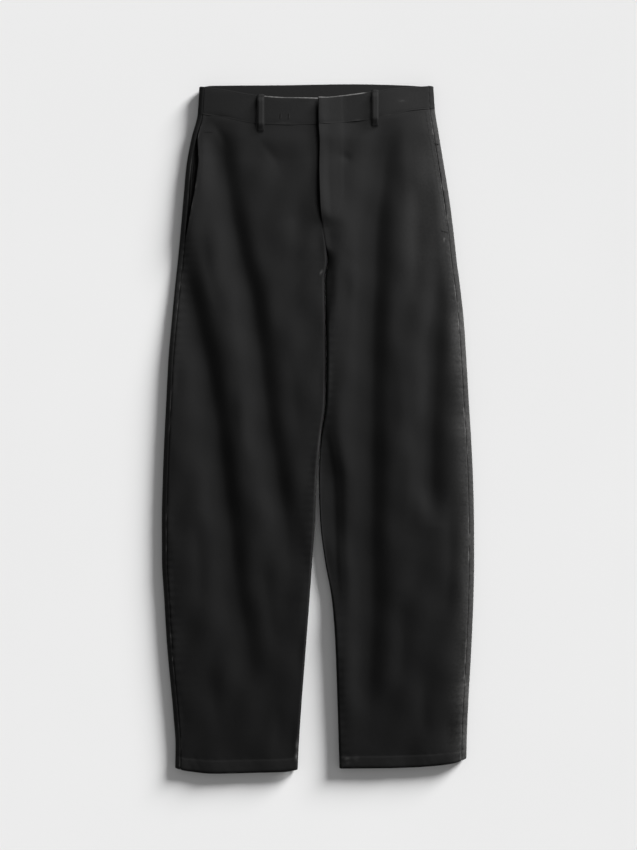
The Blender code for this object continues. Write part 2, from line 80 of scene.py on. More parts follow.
FLY_END_RUN = 0.004  # height over which the fly's edge and stitching begin
FLY_LAP_END = 0.012
POCKET_BOTTOM = 0.286
POCKET_END_RUN = 0.006
POCKET_UNDER = 0.014
POCKET_TUCK = 0.002
HEM_LEVEL = -0.5190
SEAM_LEVEL = 0.4840
TOP_LEVEL = 0.5270
HEM_DEPTH = 0.020
EDGE_BLEND = 0.090
LOOP_WIDTH = 0.012
LOOP_ABOVE = 0.002
LOOP_BELOW = 0.0125
LOOP_CLEARANCE = 0.006
LOOP_REST = 0.0007
LOOP_RAMP = 0.22
LOOP_WALL = 0.0018
FRONT_LOOPS = {"right": -0.0870, "left": 0.0870}
BACK_LOOPS = {"back_right": -0.0800, "back_centre": 0.0030, "back_left": 0.0810}
GAPE_RUN = 0.030
LEAST_HEIGHT = 0.0055
INNER_STAND = 0.0028  # how far the left leg stands up beside its inner edge, below the knee
INNER_STAND_INSET = 0.018
INNER_STAND_RUN = 0.018
INNER_STAND_TOP = -0.120
INNER_STAND_FADE = 0.100
INNER_STAND_FOOT = 0.120  # it comes down by half over this height above the hem
FOLD_SHARE = 0.88  # depth of the cloth's folds, as a share of the solid's
SIDES = {"right": -1, "left": 1}

Leg = namedtuple("Leg", "y outer inner crown roll")
LEGS = {
    "right": [
        Leg(0.5270, -0.1814, 0.0005, 0.0155, 0.009),
        Leg(0.4840, -0.1839, 0.0012, 0.0158, 0.010),
        Leg(0.4470, -0.1931, 0.0028, 0.0170, 0.011),
        Leg(0.4030, -0.2012, 0.0022, 0.0182, 0.012),
        Leg(0.3490, -0.2061, 0.0035, 0.0190, 0.013),
        Leg(0.2880, -0.2114, 0.0100, 0.0192, 0.013),
        Leg(0.2540, -0.2147, 0.0148, 0.0192, 0.013),
        Leg(0.2270, -0.2176, 0.0101, 0.0192, 0.013),
        Leg(0.1650, -0.2237, 0.0112, 0.0192, 0.013),
        Leg(0.1040, -0.2290, 0.0118, 0.0192, 0.013),
        Leg(0.0430, -0.2321, 0.0109, 0.0190, 0.013),
        Leg(-0.0180, -0.2352, 0.0032, 0.0188, 0.013),
        Leg(-0.0790, -0.2375, -0.0023, 0.0186, 0.013),
        Leg(-0.1400, -0.2390, -0.0044, 0.0184, 0.013),
        Leg(-0.2020, -0.2387, -0.0087, 0.0182, 0.013),
        Leg(-0.2630, -0.2352, -0.0130, 0.0180, 0.013),
        Leg(-0.3240, -0.2316, -0.0176, 0.0176, 0.013),
        Leg(-0.4460, -0.2206, -0.0269, 0.0166, 0.012),
        Leg(-0.4850, -0.2180, -0.0294, 0.0162, 0.011),
        Leg(-0.5270, -0.2186, -0.0315, 0.0158, 0.011),
    ],
    "left": [
        Leg(0.5270, 0.1764, 0.0005, 0.0155, 0.010),
        Leg(0.4840, 0.1787, 0.0012, 0.0158, 0.013),
        Leg(0.4470, 0.1848, 0.0028, 0.0175, 0.018),
        Leg(0.4030, 0.1925, 0.0022, 0.0190, 0.023),
        Leg(0.3490, 0.2012, 0.0035, 0.0200, 0.026),
        Leg(0.2880, 0.2088, 0.0100, 0.0205, 0.028),
        Leg(0.2540, 0.2125, 0.0152, 0.0205, 0.028),
        Leg(0.2270, 0.2162, 0.0113, 0.0205, 0.028),
        Leg(0.1650, 0.2231, 0.0122, 0.0205, 0.028),
        Leg(0.1040, 0.2272, 0.0128, 0.0205, 0.028),
        Leg(0.0430, 0.2307, 0.0119, 0.0205, 0.028),
        Leg(-0.0180, 0.2345, 0.0044, 0.0204, 0.028),
        Leg(-0.0790, 0.2373, 0.0014, 0.0202, 0.028),
        Leg(-0.1400, 0.2388, 0.0032, 0.0200, 0.027),
        Leg(-0.2020, 0.2390, 0.0105, 0.0198, 0.025),
        Leg(-0.2630, 0.2378, 0.0213, 0.0194, 0.023),
        Leg(-0.3240, 0.2353, 0.0262, 0.0190, 0.021),
        Leg(-0.4460, 0.2289, 0.0306, 0.0175, 0.016),
        Leg(-0.4850, 0.2277, 0.0318, 0.0170, 0.014),
        Leg(-0.5270, 0.2269, 0.0330, 0.0165, 0.014),
    ],
}

Edge = namedtuple("Edge", "x y")
FRONT_TOP = [
    Edge(-0.1816, 0.5220),
    Edge(-0.1426, 0.5167),
    Edge(-0.0998, 0.5090),
    Edge(-0.0508, 0.5049),
    Edge(0.0058, 0.5044),
    Edge(0.0410, 0.5080),
    Edge(0.0793, 0.5132),
    Edge(0.1252, 0.5194),
    Edge(0.1764, 0.5223),
]
BACK_TOP = [
    Edge(-0.1816, 0.5220),
    Edge(-0.1610, 0.5247),
    Edge(-0.0580, 0.5254),
    Edge(0.0487, 0.5270),
    Edge(0.1250, 0.5254),
    Edge(0.1764, 0.5223),
]
FRONT_SEAM = [
    Edge(-0.1839, 0.4800),
    Edge(-0.1426, 0.4738),
    Edge(-0.0936, 0.4647),
    Edge(-0.0431, 0.4627),
    Edge(0.0058, 0.4642),
    Edge(0.0609, 0.4685),
    Edge(0.1022, 0.4754),
    Edge(0.1481, 0.4853),
    Edge(0.1787, 0.4876),
]
BACK_SEAM = [
    Edge(-0.1839, 0.4800),
    Edge(-0.1000, 0.4835),
    Edge(0.0030, 0.4850),
    Edge(0.1000, 0.4862),
    Edge(0.1787, 0.4876),
]
HEMS = {
    "right": [
        Edge(-0.2186, -0.5191),
        Edge(-0.1961, -0.5240),
        Edge(-0.1579, -0.5270),
        Edge(-0.0967, -0.5258),
        Edge(-0.0523, -0.5245),
        Edge(-0.0315, -0.5214),
    ],
    "left": [
        Edge(0.0330, -0.5193),
        Edge(0.0854, -0.5188),
        Edge(0.1328, -0.5179),
        Edge(0.1772, -0.5153),
        Edge(0.2093, -0.5107),
        Edge(0.2269, -0.5046),
    ],
}

Pocket = namedtuple("Pocket", "y inset gape")
POCKETS = {
    "right": [
        Pocket(0.4880, 0.0084, 0.0000),
        Pocket(0.4470, 0.0102, 0.0008),
        Pocket(0.4250, 0.0150, 0.0022),
        Pocket(0.4030, 0.0190, 0.0026),
        Pocket(0.3720, 0.0180, 0.0022),
        Pocket(0.3380, 0.0145, 0.0014),
        Pocket(0.3100, 0.0115, 0.0005),
        Pocket(0.2860, 0.0084, 0.0000),
    ],
    "left": [
        Pocket(0.4880, 0.0082, 0.0000),
        Pocket(0.4470, 0.0086, 0.0002),
        Pocket(0.4030, 0.0090, 0.0004),
        Pocket(0.3490, 0.0092, 0.0004),
        Pocket(0.3100, 0.0086, 0.0002),
        Pocket(0.2860, 0.0082, 0.0000),
    ],
}

# How far in the front rolls down at the inner leg
Roll = namedtuple("Roll", "y width")
INNER_ROLLS = {
    "right": [
        Roll(0.2600, 0.0045),
        Roll(0.2000, 0.0035),
        Roll(-0.5190, 0.0035),
    ],
    "left": [
        Roll(0.2800, 0.0085),
        Roll(0.1900, 0.0085),
        Roll(0.1500, 0.0050),
        Roll(0.0000, 0.0045),
        Roll(-0.1000, 0.0040),
        Roll(-0.5190, 0.0035),
    ],
}

# The main folds: troughs that run down a front. Each row is a place on the trough's lowest line.
Fold = namedtuple("Fold", "width_out width_in line")
Trough = namedtuple("Trough", "y x depth")
HIP_FOLD_RIGHT = [
    Trough(0.478, -0.153, 0.0000),
    Trough(0.420, -0.147, 0.0075),
    Trough(0.349, -0.137, 0.0110),
    Trough(0.273, -0.121, 0.0125),
    Trough(0.190, -0.101, 0.0125),
    Trough(0.043, -0.082, 0.0110),
    Trough(-0.110, -0.058, 0.0090),
    Trough(-0.180, -0.048, 0.0050),
    Trough(-0.250, -0.044, 0.0000),
]
THIGH_FOLD_RIGHT = [
    Trough(0.310, -0.213, 0.0000),
    Trough(0.250, -0.205, 0.0080),
    Trough(0.166, -0.187, 0.0120),
    Trough(0.043, -0.162, 0.0135),
    Trough(-0.110, -0.142, 0.0125),
    Trough(-0.248, -0.126, 0.0090),
    Trough(-0.340, -0.110, 0.0045),
    Trough(-0.430, -0.100, 0.0000),
]
CROTCH_FOLD_RIGHT = [
    Trough(0.380, -0.028, 0.0000),
    Trough(0.300, -0.030, 0.0014),
    Trough(0.200, -0.030, 0.0012),
    Trough(0.120, -0.028, 0.0000),
]
LONG_FOLD_LEFT = [
    Trough(0.478, 0.116, 0.0000),
    Trough(0.440, 0.105, 0.0055),
    Trough(0.380, 0.097, 0.0115),
    Trough(0.319, 0.089, 0.0140),
    Trough(0.200, 0.084, 0.0145),
    Trough(-0.033, 0.080, 0.0140),
    Trough(-0.263, 0.080, 0.0110),
    Trough(-0.380, 0.076, 0.0065),
    Trough(-0.490, 0.072, 0.0000),
]
KNEE_FOLD_LEFT = [
    Trough(0.260, 0.181, 0.0000),
    Trough(0.200, 0.181, 0.0050),
    Trough(0.100, 0.177, 0.0075),
    Trough(0.000, 0.172, 0.0090),
    Trough(-0.079, 0.170, 0.0080),
    Trough(-0.150, 0.178, 0.0000),
]
POCKET_FOLD_LEFT = [
    Trough(0.380, 0.150, 0.0000),
    Trough(0.330, 0.150, 0.0028),
    Trough(0.240, 0.150, 0.0028),
    Trough(0.190, 0.150, 0.0000),
]
INNER_SHELF_LEFT = [
    Trough(0.080, 0.0165, 0.0000),
    Trough(0.040, 0.0165, 0.0030),
    Trough(0.000, 0.0145, 0.0052),
    Trough(-0.033, 0.0200, 0.0065),
    Trough(-0.079, 0.0265, 0.0092),
    Trough(-0.140, 0.0290, 0.0092),
    Trough(-0.200, 0.0310, 0.0076),
    Trough(-0.245, 0.0335, 0.0055),
    Trough(-0.300, 0.0360, 0.0000),
]
CROTCH_DIP_LEFT = [
    Trough(0.272, 0.0170, 0.0000),
    Trough(0.250, 0.0165, 0.0048),
    Trough(0.200, 0.0155, 0.0055),
    Trough(0.172, 0.0140, 0.0020),
    Trough(0.150, 0.0125, 0.0000),
]
FOLDS = {
    "right": [
        Fold(0.026, 0.018, HIP_FOLD_RIGHT),
        Fold(0.030, 0.019, THIGH_FOLD_RIGHT),
        Fold(0.014, 0.014, CROTCH_FOLD_RIGHT),
    ],
    "left": [
        Fold(0.019, 0.032, LONG_FOLD_LEFT),
        Fold(0.016, 0.018, KNEE_FOLD_LEFT),
        Fold(0.014, 0.014, POCKET_FOLD_LEFT),
        Fold(0.012, 0.034, INNER_SHELF_LEFT),
        Fold(0.008, 0.010, CROTCH_DIP_LEFT),
    ],
}

# Finer creases of the fronts: each runs from one point to another, bent sideways at its middle.
# A crease of negative depth is a ridge.
Crease = namedtuple("Crease", "x0 y0 x1 y1 bend width depth")
CREASES = {
    "right": [
        Crease(-0.012, 0.300, -0.062, 0.236, 0.004, 0.008, 0.0004),
        Crease(-0.006, 0.276, -0.048, 0.196, 0.005, 0.008, 0.0004),
        Crease(-0.020, 0.330, -0.078, 0.298, -0.003, 0.008, 0.0003),
        Crease(-0.090, 0.452, -0.060, 0.396, 0.004, 0.008, 0.0008),
        Crease(-0.160, 0.470, -0.140, 0.436, 0.002, 0.006, 0.0008),
        Crease(-0.176, 0.300, -0.150, 0.180, -0.004, 0.010, 0.0012),
        Crease(-0.050, 0.130, -0.030, -0.020, 0.004, 0.009, 0.0004),
        Crease(-0.120, 0.080, -0.104, -0.060, -0.004, 0.010, -0.0010),
        Crease(-0.034, -0.130, -0.026, -0.220, 0.003, 0.008, 0.0006),
        Crease(-0.078, -0.200, -0.066, -0.330, -0.004, 0.011, 0.0012),
        Crease(-0.190, -0.120, -0.180, -0.280, 0.004, 0.011, 0.0011),
        Crease(-0.160, -0.360, -0.150, -0.470, -0.003, 0.012, 0.0010),
        Crease(-0.060, -0.420, -0.064, -0.500, 0.002, 0.010, 0.0009),
    ],
    "left": [
        Crease(0.022, 0.296, 0.070, 0.240, -0.004, 0.009, 0.0003),
        Crease(0.026, 0.268, 0.060, 0.186, -0.005, 0.009, 0.0003),
        Crease(0.034, 0.425, 0.050, 0.408, 0.001, 0.007, 0.0011),
        Crease(0.052, 0.300, 0.050, 0.120, 0.003, 0.009, -0.0009),
        Crease(0.130, 0.455, 0.138, 0.330, -0.003, 0.011, -0.0009),
        Crease(0.120, 0.120, 0.128, -0.060, 0.004, 0.012, -0.0010),
        Crease(0.148, 0.020, 0.140, -0.160, 0.005, 0.010, 0.0011),
        Crease(0.050, -0.080, 0.054, -0.220, -0.003, 0.009, 0.0011),
        Crease(0.200, -0.120, 0.196, -0.300, 0.004, 0.010, 0.0013),
        Crease(0.128, -0.260, 0.124, -0.400, 0.003, 0.012, 0.0011),
        Crease(0.164, -0.380, 0.166, -0.480, -0.003, 0.011, 0.0012),
        Crease(0.200, -0.440, 0.196, -0.500, 0.002, 0.008, 0.0010),
    ],
}
# The same on the backs, where depth goes up into the leg
BACK_CREASES = {
    "right": [
        Crease(-0.020, 0.250, -0.090, 0.190, 0.006, 0.009, 0.0012),
        Crease(-0.130, 0.420, -0.110, 0.240, 0.004, 0.012, 0.0011),
        Crease(-0.170, 0.140, -0.140, -0.090, 0.006, 0.013, 0.0013),
        Crease(-0.080, 0.060, -0.070, -0.160, -0.005, 0.012, 0.0012),
        Crease(-0.110, -0.260, -0.104, -0.420, 0.004, 0.012, 0.0010),
    ],
    "left": [
        Crease(0.030, 0.240, 0.096, 0.176, -0.006, 0.009, 0.0012),
        Crease(0.120, 0.410, 0.108, 0.250, -0.004, 0.012, 0.0010),
        Crease(0.086, 0.120, 0.090, -0.120, 0.005, 0.013, 0.0013),
        Crease(0.170, 0.040, 0.160, -0.180, -0.005, 0.012, 0.0012),
        Crease(0.130, -0.280, 0.136, -0.430, 0.004, 0.012, 0.0010),
    ],
}

# Cloth
TWILL_WALL = 0.0012  # one layer of twill
HEM_WALL = 0.0022  # the hem, turned up twice
BAND_WALL = 0.0026  # the interfaced waistband
BAND_SEAM_WALL = 0.0006  # the waistband where it is sewn to the panels
SEAM_WALL = 0.0005  # a panel where it runs into a seam, so that the seam shows as a fine line
SEAM_CLEAR = 0.00005  # two pieces end this far from the seam between them
SEAM_MARGIN = 0.5 * SEAM_WALL + SEAM_CLEAR  # from the seam to the last point of the cloth's middle
SEAM_WALL_RUN = 0.0025
UNSEWN = 0.1  # a distance from any seam at which the cloth is as thick as it gets
SHELF_SINK = 0.0026  # how much lower than its solid the low strip along the left inner leg lies
SHELF_SPAN = (-0.300, 0.030)
SHELF_FADES = (0.110, 0.070)
SHELF_EDGE = 0.008
CROTCH_LEVEL_RUN = 0.030
CROTCH_LEVEL_START = 0.002  # the fronts come level from this far above the fly's end
RIM_STEPS = 3  # rings of points round half of a shell's edge
SEAM_DIP = 0.0004  # how far a panel's edge sinks into its seam
SEAM_DIP_RUN = 0.0022
HEM_PROUD = 0.0005
HEM_GROOVE = 0.0005  # the stitching pulls the hem in by this much
HEM_GROOVE_WIDTH = 0.0012
HEM_STITCH_INSET = 0.0012  # distance of the stitching from the hem's upper edge
HEM_STEP = 0.0016  # height over which the hem's raised band ends
HEM_WALL_FADE = 0.001
HEM_ROPE = 0.00014  # height of the slanting ripples of a hem
HEM_ROPE_PITCH = 0.017
HEM_ROPE_SLANT = 0.6
HEM_ROPE_SPAN = (0.0, HEM_DEPTH + 0.012)
HEM_ROPE_FADES = (0.004, 0.014)
HEM_DROOP = 0.0016  # the hem's edge curls down over HEM_DROOP_RUN
HEM_DROOP_RUN = 0.0045
FLY_STAND = 0.0024  # how much further than its solid the fly's edge stands up
FLY_STAND_RUN = 0.016
FLY_STAND_FADE = 0.020
FLY_SINK = 0.0026  # the right front sinks this far under the fly's edge, over FLY_SINK_RUN
FLY_SINK_RUN = 0.013
FLY_SINK_OFFSET = 0.002
FLY_SINK_FADE = 0.030
FLY_GAPE = 0.0026  # the fly stands open below the middle, and the front under it sinks
FLY_GAPE_LEVEL = 0.357
FLY_GAPE_RUN = 0.034
BAND_END_LIFT = 0.0022  # the hooked end of the waistband stands up
BAND_END_LEVEL = 0.440
BAND_END_FADE = 0.035
BAND_END_RUN = 0.024
BAND_GROOVE = 0.00018  # both rows of stitching draw the waistband in
BAND_GROOVE_WIDTH = 0.0010
BAND_WAVE = 0.00030
BAND_WAVE_INSET = 0.008
BAND_WALL_RUN = 0.006
BAND_PROUD_RUN = 0.010  # where its seam is hidden, the waistband rises over this height
POCKET_STAND = 1.7  # how many times further than its solid the pocket's edge stands open
FACING_DROP = 0.0056  # the facing lies deeper than its solid, in the shade of the pocket's edge
FACING_STREAK = 0.0005  # height of the streaks along a facing
FACING_STREAK_PITCH = 0.0042
FLY_FACING_STEP = 0.0004  # the fly's facing lifts the front between the edge and the stitching
FLY_FACING_RUN = 0.003
FLY_GROOVE = 0.0002
FLY_GROOVE_WIDTH = 0.0016
FLY_STITCH_INSET = 0.036  # from the fly's edge to its topstitching
FLY_TURN = 0.050  # height over which the topstitching curves in to the bar tack
PALE_EDGE_RUN = 0.0012  # how far the pale tone of an edge reaches into the cloth: real wear at some edges, painted highlights and glints at others

HEM_BAND_TONE = 0.022  # tone of a hem
HEM_BAND_TONE_FADE = 0.002
HEM_EDGE_GLINT = 0.25  # painted glints along its lower edge, in patches
FLY_TONE = 0.04  # tone of the fly's edge
BACK_BAND_TONE = 0.03  # tone of the back waistband's top edge
SIDE_PAINTED_GLINT = {"right": 0.22, "left": 0.55}  # painted glints in uneven patches along a side seam
POCKET_PAINTED_GLINT = {"right": 0.30, "left": 0.45}  # painted glints along a pocket's edge
OUTER_HIGHLIGHT = {"right": 0.09, "left": 0.33}  # painted highlight along a leg's outer edge, much stronger on the left leg, whose edge faces the key light
OUTER_HIGHLIGHT_RUN = {"right": 0.007, "left": 0.022}
LOOP_TONE = 0.03  # tone of a belt loop's face
TOP_WEAR_AND_HIGHLIGHT = 0.9  # worn tone and painted highlight of the waistband's top edge, from TOP_LINE[0] to TOP_LINE[1]
TOP_LINE = (-0.092, 0.077)
TOP_FADE = 0.008
SEAM_HIGHLIGHT = 0.16  # painted highlight along the waistband's seam where it shows
LOOP_EDGE_WALL = 0.0008  # a belt loop is pressed thin along both edges
LOOP_GROOVE = 0.0006  # the stitching of a back belt loop lies this deep in it, off the table
LOOP_GROOVE_WIDTH = 0.0009
LOOP_TACK_WIDTH = 0.0016
LOOP_FACE_RISE = 0.0005  # the face of a belt loop is raised between its rows of stitching
LOOP_FACE_INSET = 0.0016
LOOP_FACE_RUN = 0.0018
LOOP_TONE_RUN = 0.0010
LOOP_EDGE_INSET = 0.0004  # the pressed edge is this wide, and thickens over LOOP_EDGE_RUN
LOOP_EDGE_RUN = 0.0026
LOOP_TACKS = (0.0022, 0.0040)  # distances of a belt loop's bar tacks from its lower and upper end
INNER_HIGHLIGHT = {"right": 0.30, "left": 0.0}  # painted highlight along the right leg's inner edge, which faces the key light, from the crotch to the knee
INNER_HIGHLIGHT_SPAN = (-0.130, 0.180)
INNER_HIGHLIGHT_FADES = (0.080, 0.010)

# How crumpled the cloth is, from 0 to 1
RUMPLE_HEIGHT = 0.0016
TWILL_RELIEF = 0.00012  # height of the weave
WALE_SHARE = 0.36  # shares of that height
FLOAT_SHARE = 0.10
SLUB_SHARE = 0.25
FLOAT_PITCH = 0.62  # distance of two floats, as a share of the wales'
# Fineness of the noise in the materials
SLUB_SCALE = 900.0
CLOUD_SCALE = 14.0
SPECK_SCALE = 260.0
RUMPLE_SCALE = 170.0
THREAD_SCALE = 2200.0
BOARD_SCALE = 3.0
PLAIN_RUMPLE = 0.05
EDGE_RUMPLE = {"right": 0.25, "left": 0.95}
EDGE_RUMPLE_RUN = 0.014
FACING_RUMPLE = 0.4
BAND_RUMPLE = 0.12
LOOP_RUMPLE = 0.15

# Puckers along a seam
PUCKER_HEIGHT = 0.00042
PUCKER_PITCH = 0.013
PUCKER_REACH = 0.009
SIDE_PHASE = 0.7
INNER_PHASE = 2.9
INNER_EDGE_RUN = 0.004  # the inner leg's edge itself stays smooth
RELIEF_INSETS = (0.010, 0.012)  # waves and creases fade out this close to a front's two edges
BACK_RELIEF_INSET = 0.020

# Waves that add up to irregular patches: a patch begins where their sum passes PATCH_START
Beat = namedtuple("Beat", "length turns strength")
BEATS = [
    Beat(0.0043, 1.0, 1.0),
    Beat(0.0071, 2.1, 1.0),
    Beat(0.0290, 0.6, 1.3),
    Beat(0.0112, 3.7, 0.8),
]
PATCH_START = 0.7
PATCH_RUN = 1.6

# Where the waistband's seam shows, and how strongly, from the right side to the left
Show = namedtuple("Show", "x amount")
SEAM_SHOWS = [
    Show(-0.184, 1.0),
    Show(-0.166, 0.9),
    Show(-0.152, 0.2),
    Show(-0.134, 0.6),
    Show(-0.118, 0.2),
    Show(-0.072, 0.15),
    Show(-0.058, 0.6),
    Show(-0.040, 0.6),
    Show(-0.026, 0.15),
    Show(0.004, 0.2),
    Show(0.013, 0.7),
    Show(0.027, 0.6),
    Show(0.040, 0.2),
    Show(0.060, 0.6),
    Show(0.072, 0.15),
    Show(0.104, 0.6),
    Show(0.120, 0.2),
    Show(0.146, 0.9),
    Show(0.179, 1.0),
]

# Glints and lit patches painted on each piece, as in the photograph: place, half width, half height and tone
Spot = namedtuple("Spot", "x y across along tone")
PAINTED_GLINTS = {
    "front_right": [
        Spot(0.0052, 0.2375, 0.0011, 0.0030, 0.60),
        Spot(-0.0322, -0.4830, 0.0014, 0.0070, 0.35),
        Spot(-0.0330, -0.5010, 0.0016, 0.0050, 0.45),
        Spot(-0.1950, 0.3840, 0.0012, 0.0200, 0.30),
    ],
    "front_left": [
        Spot(0.1928, 0.2880, 0.0016, 0.0024, 0.80),
        Spot(0.2127, 0.2391, 0.0014, 0.0030, 0.70),
        Spot(0.2080, 0.3060, 0.0018, 0.0060, 0.35),
        Spot(0.2222, -0.4999, 0.0016, 0.0030, 0.60),
        Spot(0.2200, -0.4600, 0.0016, 0.0140, 0.25),
        Spot(0.0450, -0.5037, 0.0040, 0.0018, 0.22),
        Spot(0.0460, -0.5110, 0.0030, 0.0022, 0.14),
        Spot(0.0580, -0.5040, 0.0050, 0.0040, 0.10),
        Spot(0.0085, 0.2980, 0.0012, 0.0120, 0.10),
        Spot(0.1620, 0.3150, 0.0280, 0.1000, 0.09),
        Spot(0.1700, 0.4300, 0.0200, 0.0500, 0.05),
    ],
    "band_front_left": [
        Spot(0.1450, 0.5000, 0.0400, 0.0400, 0.05),
        Spot(0.1275, 0.4992, 0.0050, 0.0011, 0.25),
        Spot(0.0610, 0.4700, 0.0040, 0.0012, 0.15),
        Spot(0.1060, 0.4775, 0.0070, 0.0012, 0.12),
    ],
    "band_front_right": [
        Spot(-0.0574, 0.4757, 0.0013, 0.0036, 0.14),
        Spot(-0.0448, 0.4757, 0.0013, 0.0036, 0.14),
        Spot(-0.0520, 0.4655, 0.0140, 0.0012, 0.10),
    ],
}

# Slow waves of cloth that has been worn and washed: length along Y, length along X and height
Wave = namedtuple("Wave", "along across height phase")
WAVES = [
    Wave(0.170, 0.083, 0.00045, 0.4),
    Wave(0.110, -0.061, 0.00035, 2.1),
    Wave(0.073, 0.120, 0.00022, 4.0),
    Wave(0.240, -0.047, 0.00030, 5.2),
]

# Fineness of the grids
ROW_STEP = 0.0030
FRONT_COLUMNS = 84
UNDER_COLUMNS = 46
ROLL_COLUMNS = 10
EDGE_STEPS = (0.0, 0.0003, 0.0007, 0.0012, 0.0018, 0.0026, 0.0036)
SIDE_STEPS = (*EDGE_STEPS, 0.0050, 0.0062)  # from the side seam to the leg's outline
BAND_ROWS = 22
FACING_COLUMNS = 40
LOOP_ROWS = 44
LOOP_COLUMNS = 20

# Sewing
STITCH = 0.0026  # length of one stitch
STITCH_PITCH = 0.0031
THREAD = 0.0002  # radius of the thread
STITCH_SIDES = 5
EDGE_STITCH = 0.0018  # distance of an edge stitch from its edge
POCKET_ROWS = (0.0016, 0.0065)  # distances of the two rows from a pocket's edge
LOOP_ROW = 0.0018  # distance of a belt loop's stitching from its edge
BAR_TACK_STITCHES = 13
BAR_TACK_RISE = 0.00015  # a bar tack lies this far above the cloth
BESIDE = 0.001  # distance to the line beside a path, which gives the path's normal
ROW_END = 0.002  # a row of stitches ends this far from the edge of its piece
ROW_ROUNDS = 6  # rounds that find a straight row from its bent height
LOOP_ROW_END = 0.003
LOOP_TACK_INSET = 0.0015  # a belt loop's bar tacks end this far from its edges

# Bar tacks on the front panels, as in the photograph: from one end to the other
Tack = namedtuple("Tack", "x0 y0 x1 y1")
FRONT_TACKS = {
    "right": [
        Tack(-0.1730, 0.4517, -0.1620, 0.4517),
        Tack(-0.2040, 0.2510, -0.2048, 0.2430),
    ],
    "left": [
        Tack(0.0060, 0.3096, 0.0180, 0.3096),
        Tack(0.1775, 0.4345, 0.1840, 0.4330),
        Tack(0.1880, 0.3010, 0.1960, 0.2990),
    ],
}
BAND_TACKS = {
    "right": [
        Tack(-0.0574, 0.4793, -0.0574, 0.4716),
        Tack(-0.0448, 0.4793, -0.0448, 0.4716),
    ],
    "left": [],
}

# Columns for a piece's flat cut, without seam allowances; no cut is given here
Cut = namedtuple("Cut", "width length area")

# Stage
FLOOR_SIZE = 40.0
FLOOR_GAP = 0.0002  # the board lies just under the cloth
IMAGE_HEIGHT = 850  # of the photograph, in pixels
PIXEL = 0.00153  # what one pixel of the photograph covers on the trousers
VIEW_CENTRE = (0.0008, 0.0050)
OUTLINE_HEIGHT = 0.0075
SENSOR = 0.036
KEY_WIDTH = math.radians(22.0)  # how much of the sky the key light fills
WAIST_LIGHT = Vector((0.40, 0.92, 0.78))
WAIST_LIGHT_AIM = Vector((0.0, 0.30, 0.0))
SIDE_LIGHT = Vector((1.60, 0.20, 0.18))
SIDE_LIGHT_AIM = Vector((0.20, 0.0, 0.0))
WAIST_LIGHT_SIZE = 0.5
SIDE_LIGHT_SIZE = 0.3


def smooth_step(t):
    t = np.clip(t, 0.0, 1.0)
    return t * t * (3.0 - 2.0 * t)


def through(rows, along, value, at):
    """A smooth curve through two columns of a table, which never swings past the rows it joins."""
    points = sorted((getattr(row, along), getattr(row, value)) for row in rows)
    xs, ys = np.array(points).T
    step = np.diff(xs)
    slope = np.diff(ys) / step
    tangent = np.zeros_like(ys)
    tangent[0], tangent[-1] = slope[0], slope[-1]
    before, after = slope[:-1], slope[1:]
    same_way = before * after > 0
    weight_before = 2.0 * step[1:] + step[:-1]
    weight_after = step[1:] + 2.0 * step[:-1]
    mean = np.zeros_like(before)
    mean[same_way] = (weight_before + weight_after)[same_way] / (
        weight_before[same_way] / before[same_way]
        + weight_after[same_way] / after[same_way]
    )
    tangent[1:-1] = mean
    at = np.clip(np.asarray(at, float), xs[0], xs[-1])
    i = np.clip(np.searchsorted(xs, at) - 1, 0, len(step) - 1)
    t = (at - xs[i]) / step[i]
    start = ys[i] * (1 + 2 * t) * (1 - t) ** 2 + step[i] * tangent[i] * t * (1 - t) ** 2
    end = ys[i + 1] * t * t * (3 - 2 * t) + step[i] * tangent[i + 1] * t * t * (t - 1)
    return start + end


def bell(distance, width):
    """1 at no distance, and 1/e at one width to either side."""
    return np.exp(-((distance / width) ** 2))


def span(at, ends, fades):
    """1 between two ends, reached inside them over a length at each."""
    return smooth_step((at - ends[0]) / fades[0]) * smooth_step((ends[1] - at) / fades[1])


def quarter_round(t):
    """Height of a quarter circle: steep at 0 and level at 1."""
    return np.sqrt(1.0 - (1.0 - t) ** 2)


def leg(side, column, y):
    """A column of a leg's table at the height y."""
    return through(LEGS[side], "y", column, y)


def edge_y(line, x):
    """Height at x of a line that runs across the trousers."""
    return through(line, "x", "y", x)


def outer_edge(side, y):
    return leg(side, "outer", y)


def inner_edge(side, y):
    return leg(side, "inner", y)


def waist_lift(y):
    """The waist lies on the back belt loops, and the back sinks to the table below it."""
    return WAIST_LIFT * smooth_step((y - WAIST_LIFT_START) / WAIST_LIFT_RUN + 1.0)


def fork(y):
    """0 across the hips, where both legs are one tube, and 1 from the crotch down."""
    return smooth_step((CROTCH + CROTCH_RUN - y) / CROTCH_RUN)


def inner_roll(side, y):
    return through(INNER_ROLLS[side], "y", "width", y)


def above_fly(y):
    return smooth_step((y - FLY_BOTTOM) / FLY_END_RUN)


def above_pocket(y):
    return smooth_step((y - POCKET_BOTTOM) / POCKET_END_RUN)


def fold_depth(side, x, y):
    """Sum of the troughs at a point: each follows its line and has a bell-shaped section."""
    depth = np.zeros(np.broadcast(x, y).shape)
    for fold in FOLDS[side]:
        outwards = SIDES[side] * (x - through(fold.line, "y", "x", y))
        width = np.where(outwards > 0.0, fold.width_out, fold.width_in)
        depth += through(fold.line, "y", "depth", y) * bell(outwards, width)
    return FOLD_SHARE * depth


def inner_stand(side, x, y):
    """Below the knee the left leg stands up beside its inner edge, and shades the gap between the legs."""
    if side == "right":
        return 0.0
    below = smooth_step((INNER_STAND_TOP - y) / INNER_STAND_FADE)
    below = below * (0.5 + 0.5 * smooth_step((y - HEM_LEVEL) / INNER_STAND_FOOT))
    return INNER_STAND * below * bell(x - inner_edge(side, y) - INNER_STAND_INSET, INNER_STAND_RUN)


